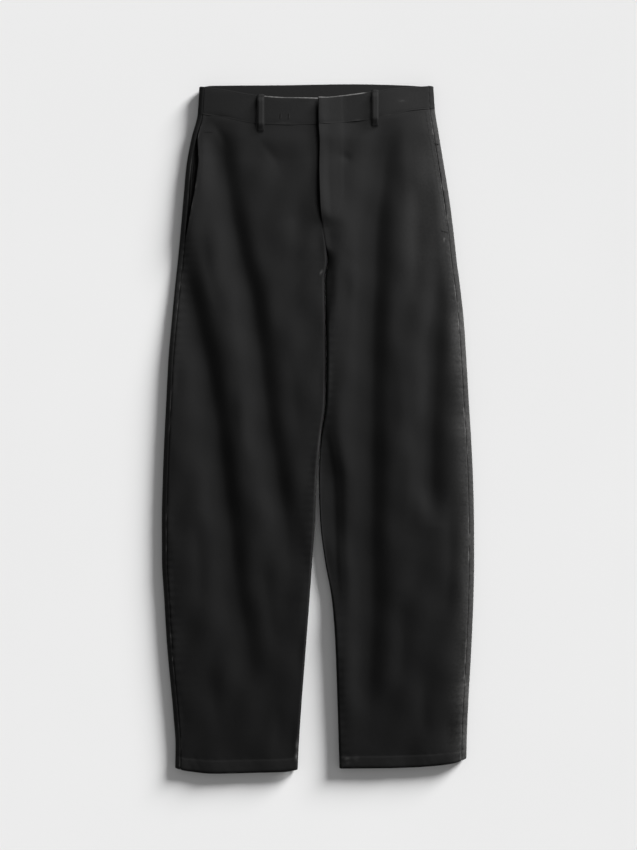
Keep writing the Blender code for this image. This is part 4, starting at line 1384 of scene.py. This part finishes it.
def thread_mesh(groups):
    """Points and faces of many stitches. Each is a short tube of thread, thin where it dives into the cloth.

    Round a stitch with direction A, normal N and side S = N x A, the ring at share s of its half length h
    lies at A h s + N r (0.7 - s^2) + r sqrt(1 - 0.93 s^2) (N cos t + S sin t), with r the thread's radius.
    """
    middle, ahead, normal = (np.concatenate(parts) for parts in zip(*groups))
    side = np.cross(normal, ahead)
    share = np.array([-1.0, -0.72, 0.0, 0.72, 1.0])[None, :, None, None]
    turn = np.linspace(0.0, 2.0 * math.pi, STITCH_SIDES, endpoint=False)[None, None, :, None]
    thick = THREAD * np.sqrt(1.0 - 0.93 * share**2)
    height = THREAD * (0.7 - 1.0 * share**2)
    ahead, normal, side = (v[:, None, None, :] for v in (ahead, normal, side))
    points = middle[:, None, None, :] + ahead * 0.5 * STITCH * share + normal * height
    points = points + thick * (normal * np.cos(turn) + side * np.sin(turn))
    count, rings = len(middle), share.shape[1]
    index = np.arange(count * rings * STITCH_SIDES).reshape(count, rings, STITCH_SIDES)
    ahead_index = np.roll(index, -1, axis=2)
    corners = (index[:, :-1], ahead_index[:, :-1], ahead_index[:, 1:], index[:, 1:])
    walls = np.stack(corners, axis=-1).reshape(-1, 4)
    caps = np.concatenate([index[:, 0, ::-1], index[:, -1]])
    return points.reshape(-1, 3), walls, caps


def sew(name, groups, material):
    """One piece of thread from the stitches of several paths."""
    points, walls, caps = thread_mesh(groups)
    piece = add_mesh(name, points, walls.tolist() + caps.tolist(), material)
    piece.data.shade_smooth()
    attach(piece, "root")
    return piece


def sewn(surface, x, y):
    """Stitches along a line of places on a surface, whose outer side has the line's left on its left."""
    run = unit(np.stack([np.gradient(x), np.gradient(y)], axis=-1))
    return stitches(surface(x, y), surface(x - BESIDE * run[:, 1], y + BESIDE * run[:, 0]))


def bar_tack(surface, x0, y0, x1, y1):
    """A bar tack between two places on a surface: a row of short stitches, each square to the bar."""
    share = np.linspace(0.0, 1.0, BAR_TACK_STITCHES)
    x, y = x0 + (x1 - x0) * share, y0 + (y1 - y0) * share
    run = np.array([x1 - x0, y1 - y0]) / math.hypot(x1 - x0, y1 - y0)
    middle = surface(x, y)
    along = unit(np.gradient(middle, axis=0))
    normal = unit(np.cross(along, surface(x - BESIDE * run[1], y + BESIDE * run[0]) - middle))
    slant = 0.2 * np.where(np.arange(BAR_TACK_STITCHES) % 2, 1.0, -1.0)[:, None]
    return middle + BAR_TACK_RISE * normal, unit(np.cross(normal, along) + slant * along), normal


def straight_row(side, x, y):
    """The straight row of a front that bend_rows moves to the height y."""
    row = y
    for _ in range(ROW_ROUNDS):
        row = row + y - bend_rows(side, row, x, FRONT_SEAM)
    return row


def front_surface(side):
    """Gives the points of a front's outer face at x and y."""
    def surface(x, y):
        return front_points(side, x, straight_row(side, x, y))

    return surface


def hem_stitches(side):
    """One row round each hem."""
    level = HEM_LEVEL + HEM_DEPTH - HEM_STITCH_INSET

    def front_line(y):
        row = np.array([[y]])
        x = front_columns(side, row)
        return front_points(side, x, np.repeat(row, x.shape[1], axis=1))[0]

    def back_line(y):
        return back_points(side, np.array([[y]]))[0]

    step = BESIDE * SIDES[side]
    return [
        stitches(front_line(level), front_line(level - step)),
        stitches(back_line(level), back_line(level + step)),
    ]


def pocket_stitches(side):
    """Two rows along a pocket's edge."""
    row = np.linspace(POCKET_BOTTOM, SEAM_LEVEL - ROW_END, 90)
    start = front_start(side, row)
    return [sewn(partial(front_points, side), start - SIDES[side] * inset, row) for inset in POCKET_ROWS]


def fly_stitches():
    """The curved row that holds the fly's facing, from the waistband down to the bar tack."""
    turn = np.linspace(math.pi / 2, 0.12, 40)
    straight = np.linspace(SEAM_LEVEL - ROW_END, FLY_BOTTOM + FLY_TURN, 50)[:-1]
    row = np.concatenate([straight, FLY_BOTTOM + FLY_TURN * (1.0 - np.cos(turn))])
    return [sewn(partial(front_points, "left"), fly_stitch_x(row), row)]


def band_surface(side):
    """Gives the points of half the front waistband's outer face at x and y."""
    def surface(x, y):
        low, high = edge_y(FRONT_SEAM, x), edge_y(FRONT_TOP, x)
        return front_band_points(side, x, (y - low) / (high - low))

    return surface


def front_band_stitches(side):
    """A row along the top and the bottom of half the front waistband."""
    surface = band_surface(side)
    ends = (outer_edge(side, SEAM_LEVEL) - SIDES[side] * (SIDE_SEAM + 0.001), front_end(side, SEAM_LEVEL))
    x = np.linspace(min(ends) + 0.001, max(ends) - 0.001, 100)
    bottom = edge_y(FRONT_SEAM, x) + EDGE_STITCH
    return [sewn(surface, x, bottom), sewn(surface, x, edge_y(FRONT_TOP, x) - EDGE_STITCH)]


def back_band_stitches():
    """A row along the top and the bottom of the back waistband, from side seam to side seam."""
    def line(share):
        return back_band_points(np.array([[share]]))[0]

    share = EDGE_STITCH / (TOP_LEVEL - SEAM_LEVEL)
    return [stitches(line(at), line(at + 0.02)) for at in (share, 1.0 - share)]


def loop_stitches(points_at):
    """Two rows along a belt loop and a bar tack across each end, by distances on the loop."""
    length = TOP_LEVEL - SEAM_LEVEL + LOOP_BELOW
    half, tack = 0.5 * LOOP_WIDTH, 0.5 * LOOP_WIDTH - LOOP_TACK_INSET

    def surface(across, up):
        return points_at(across, up / length)

    up = np.linspace(LOOP_ROW_END, length - LOOP_ROW_END, 40)
    rows = [sewn(surface, np.full_like(up, at), up) for at in (LOOP_ROW - half, half - LOOP_ROW)]
    ends = (LOOP_TACKS[0], length - LOOP_TACKS[1])
    return rows + [bar_tack(surface, -tack, at, tack, at) for at in ends]


def set_inputs(tree, target, inputs):
    """Sets a node's inputs, by number or name. Each gets a value, or a link where a socket is given."""
    for key, value in inputs.items():
        if isinstance(value, bpy.types.NodeSocket):
            tree.links.new(value, target.inputs[key])
        else:
            target.inputs[key].default_value = value


def node(tree, kind, inputs=None, **settings):
    """Adds a shader node with its settings and inputs."""
    made = tree.nodes.new(kind)
    for name, value in settings.items():
        setattr(made, name, value)
    set_inputs(tree, made, inputs or {})
    return made


def maths(tree, operation, *values):
    """A Math node; the result is its only output."""
    return node(tree, "ShaderNodeMath", dict(enumerate(values)), operation=operation).outputs[0]


def new_group(name, vector, values, outputs):
    """A node group with one vector input, float inputs with their defaults, and float outputs."""
    tree = bpy.data.node_groups.new(name, "ShaderNodeTree")
    tree.interface.new_socket(name=vector, in_out="INPUT", socket_type="NodeSocketVector")
    for value, default in values.items():
        socket = tree.interface.new_socket(name=value, in_out="INPUT", socket_type="NodeSocketFloat")
        socket.default_value = default
    for output in outputs:
        tree.interface.new_socket(name=output, in_out="OUTPUT", socket_type="NodeSocketFloat")
    return tree, tree.nodes.new("NodeGroupInput").outputs, tree.nodes.new("NodeGroupOutput")


def noise(tree, place, scale, detail):
    """The value of a noise texture at a place."""
    inputs = {"Vector": place, "Scale": scale, "Detail": detail}
    return node(tree, "ShaderNodeTexNoise", inputs).outputs[0]


def twill_group():
    """Weave: diagonal wales of twill, each broken into floats where the weft goes over.

    Height = wale ridge x float ridge. The wale's place is (u sin a + v cos a) / pitch, and the floats step
    along the warp, half a float further on each wale.
    """
    values = {"Pitch": 0.0009, "Slant": math.radians(63.0)}
    tree, given, result = new_group("twill_weave", "Vector", values, ["Height", "Fleck"])

    def times(first, second):
        return maths(tree, "MULTIPLY", first, second)

    parts = node(tree, "ShaderNodeSeparateXYZ", {0: given["Vector"]})
    u, v = parts.outputs[0], parts.outputs[1]
    cosine, sine = maths(tree, "COSINE", given["Slant"]), maths(tree, "SINE", given["Slant"])
    across = maths(tree, "ADD", times(u, sine), times(v, cosine))
    place = maths(tree, "DIVIDE", across, given["Pitch"])
    wale = maths(tree, "SINE", times(place, 2.0 * math.pi))
    weft = maths(tree, "DIVIDE", v, times(given["Pitch"], FLOAT_PITCH))
    shifted = maths(tree, "ADD", weft, times(maths(tree, "FLOOR", place), 0.5))
    floats = maths(tree, "SINE", times(shifted, 2.0 * math.pi))
    slub = noise(tree, given["Vector"], SLUB_SCALE, 2.0)
    height = maths(tree, "MULTIPLY_ADD", wale, WALE_SHARE, 0.5)
    height = maths(tree, "MULTIPLY_ADD", floats, FLOAT_SHARE, height)
    height = maths(tree, "MULTIPLY_ADD", slub, SLUB_SHARE, height)
    set_inputs(tree, result, {"Height": height, "Fleck": slub})
    return tree


def pale_mask_group():
    """Pale mask: where the twill turns paler, from slow clouds and fine specks, and from each piece's pale
    tone, which is worn dye at some edges and painted highlights and glints elsewhere.
    """
    values = {"Wear": 0.0, "Clouds": 0.012}
    tree, given, result = new_group("garment_wash", "Vector", values, ["Mask"])
    slow = noise(tree, given["Vector"], CLOUD_SCALE, 3.0)
    fine = noise(tree, given["Vector"], SPECK_SCALE, 4.0)
    clouds = maths(tree, "MULTIPLY", slow, given["Clouds"])
    pale_amount = maths(tree, "MULTIPLY", given["Wear"], maths(tree, "MULTIPLY_ADD", fine, 1.1, 0.2))
    mask = node(tree, "ShaderNodeMath", {0: clouds, 1: pale_amount}, operation="ADD", use_clamp=True)
    set_inputs(tree, result, {"Mask": mask.outputs[0]})
    return tree


def rumple_group():
    """Rumple: small soft bumps a few millimetres apart, as high as the amount given."""
    tree, given, result = new_group("cloth_rumple", "Vector", {"Amount": 0.0}, ["Height"])
    bumps = noise(tree, given["Vector"], RUMPLE_SCALE, 3.0)
    set_inputs(tree, result, {"Height": maths(tree, "MULTIPLY", bumps, given["Amount"])})
    return tree


def use_group(tree, name, make, inputs):
    """Adds a node group, which is made the first time."""
    made = bpy.data.node_groups.get(name) or make()
    return node(tree, "ShaderNodeGroup", inputs, node_tree=made).outputs


def new_material(name):
    """A material with its node tree and its shader."""
    material = bpy.data.materials.new(name)
    material.use_nodes = True
    return material, material.node_tree, material.node_tree.nodes["Principled BSDF"]


def blend(tree, share, first, second):
    """Mixes two colours."""
    inputs = {"Factor": share, "A": (*first, 1.0), "B": (*second, 1.0)}
    return node(tree, "ShaderNodeMix", inputs, data_type="RGBA").outputs["Result"]


def cloth_material(name, settings, turned=False):
    """Black twill: woven bump, pale edges that are partly worn and partly painted highlights and glints, and
    a faint sheen. Turned cloth has its warp across.
    """
    if name in bpy.data.materials:
        return bpy.data.materials[name]
    material, tree, shader = new_material(name)
    weave = node(tree, "ShaderNodeUVMap", uv_map="weave").outputs[0]
    if turned:
        inputs = {"Vector": weave, "Rotation": (0.0, 0.0, math.pi / 2)}
        weave = node(tree, "ShaderNodeMapping", inputs).outputs[0]
    # The pale tone per point: real wear at some edges, painted highlights and glints elsewhere
    wear, crumple = (
        node(tree, "ShaderNodeAttribute", attribute_name=field).outputs["Fac"] for field in ("wear", "rumple")
    )
    twill = use_group(tree, "twill_weave", twill_group, {"Vector": weave, "Pitch": settings.wale_pitch})
    pale_mask = use_group(tree, "garment_wash", pale_mask_group, {"Vector": weave, "Wear": wear})
    rumple = use_group(tree, "cloth_rumple", rumple_group, {"Vector": weave, "Amount": crumple})
    inputs = {"Height": rumple["Height"], "Strength": 1.0, "Distance": RUMPLE_HEIGHT}
    soft = node(tree, "ShaderNodeBump", inputs).outputs[0]
    inputs = {"Height": twill["Height"], "Strength": 0.6, "Distance": TWILL_RELIEF, "Normal": soft}
    inputs = {
        "Metallic": 0.0,
        "Specular IOR Level": settings.gloss,
        "Sheen Weight": settings.sheen,
        "Sheen Roughness": 0.45,
        "Base Color": blend(tree, pale_mask["Mask"], settings.colour, settings.pale_colour),
        "Roughness": maths(tree, "MULTIPLY_ADD", twill["Fleck"], 0.10, settings.roughness - 0.05),
        "Normal": node(tree, "ShaderNodeBump", inputs).outputs[0],
    }
    set_inputs(tree, shader, inputs)
    return material


def mottled_material(name, colour, spread, scale, detail):
    """A material whose colour varies by a share of itself, with its tree, its shader and its noise."""
    material, tree, shader = new_material(name)
    share = noise(tree, node(tree, "ShaderNodeTexCoord").outputs["Object"], scale, detail)
    dark, light = ([factor * c for c in colour] for factor in (1.0 - spread, 1.0 + spread))
    set_inputs(tree, shader, {"Base Color": blend(tree, share, dark, light)})
    return material, tree, shader, share


def thread_material(settings):
    """Matt polyester thread, twisted."""
    name = "black thread"
    if name in bpy.data.materials:
        return bpy.data.materials[name]
    material, tree, shader, twist = mottled_material(name, settings.thread_colour, 0.3, THREAD_SCALE, 1.0)
    rough = maths(tree, "MULTIPLY_ADD", twist, 0.2, 0.60)
    set_inputs(tree, shader, {"Specular IOR Level": settings.thread_gloss, "Roughness": rough})
    return material


def floor_material(settings):
    """Matt pale board, with the faintest mottling."""
    material, tree, shader, _ = mottled_material("pale board", settings.floor_colour, 0.015, BOARD_SCALE, 2.0)
    set_inputs(tree, shader, {"Roughness": 1.0, "Specular IOR Level": 0.0})
    return material


def declare(node_name):
    """Hides the solid that the piece stands for."""
    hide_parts(node_name)


class TrousersCloth(bpy.types.PropertyGroup):
    """Colours and finish of the cloth and its thread."""

    colour: FloatVectorProperty(
        name="Twill colour", description="Colour of the black twill", subtype="COLOR", size=3, min=0.0,
        max=1.0, default=(0.0028, 0.0028, 0.0029)
    )
    # The pale colour is where the dye has worn off, and also the colour of the painted highlights and glints
    pale_colour: FloatVectorProperty(
        name="Pale colour", description="Colour where the dye has worn off", subtype="COLOR", size=3,
        min=0.0, max=1.0, default=(0.160, 0.158, 0.155)
    )
    thread_colour: FloatVectorProperty(
        name="Thread colour", description="Colour of the sewing thread", subtype="COLOR", size=3,
        min=0.0, max=1.0, default=(0.0045, 0.0045, 0.0045)
    )
    roughness: FloatProperty(
        name="Roughness", description="Roughness of the twill", subtype="FACTOR", min=0.0, max=1.0,
        default=0.80
    )
    gloss: FloatProperty(
        name="Gloss", description="Specular level of the twill", subtype="FACTOR", min=0.0, max=1.0,
        default=0.075
    )
    sheen: FloatProperty(
        name="Sheen", description="Weight of the fine fuzz on the twill", subtype="FACTOR", min=0.0,
        max=1.0, default=0.0
    )
    thread_gloss: FloatProperty(
        name="Thread gloss", description="Specular level of the sewing thread", subtype="FACTOR",
        min=0.0, max=1.0, default=0.10
    )
    wale_pitch: FloatProperty(
        name="Wale pitch", description="Distance between two diagonal lines of the twill",
        subtype="DISTANCE", unit="LENGTH", min=0.0003, max=0.004, default=0.0009, precision=5
    )


class TrousersStage(bpy.types.PropertyGroup):
    """The floor, the lights and the camera."""

    floor_colour: FloatVectorProperty(
        name="Floor colour", description="Colour of the pale board under the trousers",
        subtype="COLOR", size=3, min=0.0, max=1.0, default=(0.80, 0.80, 0.80)
    )
    key_strength: FloatProperty(
        name="Key light", description="Strength of the light from the upper right", min=0.0,
        default=7.6
    )
    key_elevation: FloatProperty(
        name="Key elevation", description="Height of the key light above the table", subtype="ANGLE",
        unit="ROTATION", default=math.radians(19.0)
    )
    key_azimuth: FloatProperty(
        name="Key direction",
        description="Direction that the key light comes from, turned from +X towards +Y",
        subtype="ANGLE", unit="ROTATION", default=math.radians(46.0)
    )
    fill_strength: FloatProperty(
        name="Fill light", description="Strength of the even light from all round", min=0.0,
        default=0.26
    )
    waist_strength: FloatProperty(
        name="Waist light",
        description="Power of the lamp over the waist, which only glosses the cloth", subtype="POWER",
        unit="POWER", min=0.0, default=46.0
    )
    side_strength: FloatProperty(
        name="Side light",
        description="Power of the low lamp on the right, which only glosses the cloth",
        subtype="POWER", unit="POWER", min=0.0, default=54.0
    )
    camera_height: FloatProperty(
        name="Camera height", description="Distance of the camera above the table", subtype="DISTANCE",
        unit="LENGTH", default=3.07
    )


class TROUSERS_OT_backs(bpy.types.Operator):
    """Add the two back panels"""

    bl_idname = "trousers.backs"
    bl_label = "Back panels"
    bl_options = {"REGISTER", "UNDO"}

    def execute(self, context):
        material = cloth_material("black twill", context.scene.trousers_cloth)
        for side in SIDES:
            piece = back_panel(side, material)
            declare(f"back_panel_{side}")
        return {"FINISHED"}


class TROUSERS_OT_fronts(bpy.types.Operator):
    """Add the two front panels"""

    bl_idname = "trousers.fronts"
    bl_label = "Front panels"
    bl_options = {"REGISTER", "UNDO"}

    def execute(self, context):
        material = cloth_material("black twill", context.scene.trousers_cloth)
        for side in SIDES:
            piece = front_panel(side, material)
            declare(f"front_panel_{side}")
        return {"FINISHED"}


class TROUSERS_OT_facings(bpy.types.Operator):
    """Add the facings that show inside the pockets"""

    bl_idname = "trousers.facings"
    bl_label = "Pocket facings"
    bl_options = {"REGISTER", "UNDO"}

    def execute(self, context):
        material = cloth_material("black twill", context.scene.trousers_cloth)
        for side in SIDES:
            piece = pocket_facing(side, material)
            declare(f"pocket_facing_{side}")
        return {"FINISHED"}


class TROUSERS_OT_waistband(bpy.types.Operator):
    """Add the three pieces of the waistband"""

    bl_idname = "trousers.waistband"
    bl_label = "Waistband"
    bl_options = {"REGISTER", "UNDO"}

    def execute(self, context):
        material = cloth_material("waistband twill", context.scene.trousers_cloth, turned=True)
        piece = back_band(material)
        declare("waistband_back")
        for side in SIDES:
            piece = front_band(side, material)
            declare(f"waistband_front_{side}")
        return {"FINISHED"}


class TROUSERS_OT_loops(bpy.types.Operator):
    """Add the five belt loops"""

    bl_idname = "trousers.loops"
    bl_label = "Belt loops"
    bl_options = {"REGISTER", "UNDO"}

    def execute(self, context):
        material = cloth_material("waistband twill", context.scene.trousers_cloth, turned=True)
        for side in SIDES:
            piece = front_loop(side, material)
            declare(f"belt_loop_front_{side}")
        for name in BACK_LOOPS:
            piece = back_loop(name, material)
            declare(f"belt_loop_{name}")
        return {"FINISHED"}


class TROUSERS_OT_leg_stitching(bpy.types.Operator):
    """Sew the hems, the pockets and the fly"""

    bl_idname = "trousers.leg_stitching"
    bl_label = "Leg stitching"
    bl_options = {"REGISTER", "UNDO"}

    def execute(self, context):
        thread = thread_material(context.scene.trousers_cloth)
        for side in SIDES:
            sew(f"hem_stitches_{side}", hem_stitches(side), thread)
            sew(f"pocket_stitches_{side}", pocket_stitches(side), thread)
            tacks = [bar_tack(front_surface(side), *tack) for tack in FRONT_TACKS[side]]
            sew(f"tacks_{side}", tacks, thread)
        sew("fly_stitches", fly_stitches(), thread)
        return {"FINISHED"}


class TROUSERS_OT_waist_stitching(bpy.types.Operator):
    """Sew the waistband and the belt loops"""

    bl_idname = "trousers.waist_stitching"
    bl_label = "Waist stitching"
    bl_options = {"REGISTER", "UNDO"}

    def execute(self, context):
        thread = thread_material(context.scene.trousers_cloth)
        sew("band_stitches_back", back_band_stitches(), thread)
        for side in SIDES:
            tacks = [bar_tack(band_surface(side), *tack) for tack in BAND_TACKS[side]]
            sew(f"band_stitches_{side}", front_band_stitches(side) + tacks, thread)
            groups = loop_stitches(partial(front_loop_points, side))
            sew(f"loop_stitches_front_{side}", groups, thread)
        for name in BACK_LOOPS:
            groups = loop_stitches(partial(back_loop_points, name))
            sew(f"loop_stitches_{name}", groups, thread)
        return {"FINISHED"}


class TROUSERS_OT_stage(bpy.types.Operator):
    """Add the floor, the lights and the camera"""

    bl_idname = "trousers.stage"
    bl_label = "Stage"
    bl_options = {"REGISTER", "UNDO"}

    def execute(self, context):
        settings = context.scene.trousers_stage
        scene = context.scene
        scene.view_settings.view_transform = "Standard"
        make_floor(settings)
        make_lights(scene, settings)
        make_camera(scene, settings)
        return {"FINISHED"}


def make_floor(settings):
    """A flat board, wide enough to fill every view."""
    share = np.linspace(-0.5, 0.5, 9)
    x, y = np.meshgrid(share * FLOOR_SIZE, share * FLOOR_SIZE)
    points = np.stack([x, y, np.full_like(x, -FLOOR_GAP)], axis=-1).reshape(-1, 3)
    faces = quads(np.arange(x.size).reshape(x.shape)).tolist()
    add_mesh("floor", points, faces, floor_material(settings))


def gloss_lamp(scene, name, power, size, place, aim):
    """A round lamp that is seen only in the gloss of the cloth, so that the board stays evenly lit."""
    lamp = bpy.data.lights.new(name, "AREA")
    lamp.energy = power
    lamp.shape = "DISK"
    lamp.size = size
    light = bpy.data.objects.new(name, lamp)
    scene.collection.objects.link(light)
    light.location = place
    light.rotation_euler = (aim - place).to_track_quat("-Z", "Y").to_euler()
    light.visible_diffuse = False


def make_lights(scene, settings):
    """A soft key light from the upper right, two lamps for the gloss and an even fill from the world."""
    lamp = bpy.data.lights.new("key", "SUN")
    lamp.energy = settings.key_strength
    lamp.angle = KEY_WIDTH
    key = bpy.data.objects.new("key", lamp)
    scene.collection.objects.link(key)
    key.rotation_euler = (0.0, math.pi / 2 - settings.key_elevation, settings.key_azimuth)
    gloss_lamp(scene, "waist_light", settings.waist_strength, WAIST_LIGHT_SIZE, WAIST_LIGHT, WAIST_LIGHT_AIM)
    gloss_lamp(scene, "side_light", settings.side_strength, SIDE_LIGHT_SIZE, SIDE_LIGHT, SIDE_LIGHT_AIM)
    world = bpy.data.worlds.new("studio")
    world.use_nodes = True
    background = world.node_tree.nodes["Background"]
    background.inputs["Color"].default_value = (1.0, 1.0, 1.0, 1.0)
    background.inputs["Strength"].default_value = settings.fill_strength
    scene.world = world


def make_camera(scene, settings):
    """Straight down from high above, with the photograph's field on the trousers' outline."""
    field = IMAGE_HEIGHT * PIXEL
    lens = bpy.data.cameras.new("camera")
    lens.sensor_width = SENSOR * 1000.0
    lens.lens = SENSOR * 1000.0 * (settings.camera_height - OUTLINE_HEIGHT) / field
    lens.dof.use_dof = False
    camera = bpy.data.objects.new("camera", lens)
    scene.collection.objects.link(camera)
    camera.location = Vector((*VIEW_CENTRE, settings.camera_height))
    scene.camera = camera


class TROUSERS_PT_panel(bpy.types.Panel):
    """Lists the settings and the pieces"""

    bl_idname = "TROUSERS_PT_panel"
    bl_label = "Twill trousers"
    bl_space_type = "VIEW_3D"
    bl_region_type = "UI"
    bl_category = "Trousers"

    def draw(self, context):
        layout = self.layout
        for settings in (context.scene.trousers_cloth, context.scene.trousers_stage):
            box = layout.box()
            for name in settings.__annotations__:
                box.prop(settings, name)
        for operator in OPERATORS:
            layout.operator(operator.bl_idname)


OPERATORS = (
    TROUSERS_OT_backs,
    TROUSERS_OT_fronts,
    TROUSERS_OT_facings,
    TROUSERS_OT_waistband,
    TROUSERS_OT_loops,
    TROUSERS_OT_leg_stitching,
    TROUSERS_OT_waist_stitching,
    TROUSERS_OT_stage,
)
CLASSES = (TrousersCloth, TrousersStage, *OPERATORS, TROUSERS_PT_panel)


def register():
    for cls in CLASSES:
        bpy.utils.register_class(cls)
    bpy.types.Scene.trousers_cloth = PointerProperty(type=TrousersCloth)
    bpy.types.Scene.trousers_stage = PointerProperty(type=TrousersStage)


def unregister():
    del bpy.types.Scene.trousers_stage
    del bpy.types.Scene.trousers_cloth
    for cls in reversed(CLASSES):
        bpy.utils.unregister_class(cls)


def main():
    """Makes the stage and every piece."""
    register()
    bpy.ops.trousers.stage()
    bpy.ops.trousers.backs()
    bpy.ops.trousers.fronts()
    bpy.ops.trousers.facings()
    bpy.ops.trousers.waistband()
    bpy.ops.trousers.loops()
    bpy.ops.trousers.leg_stitching()
    bpy.ops.trousers.waist_stitching()


if __name__ == "__main__":
    main()
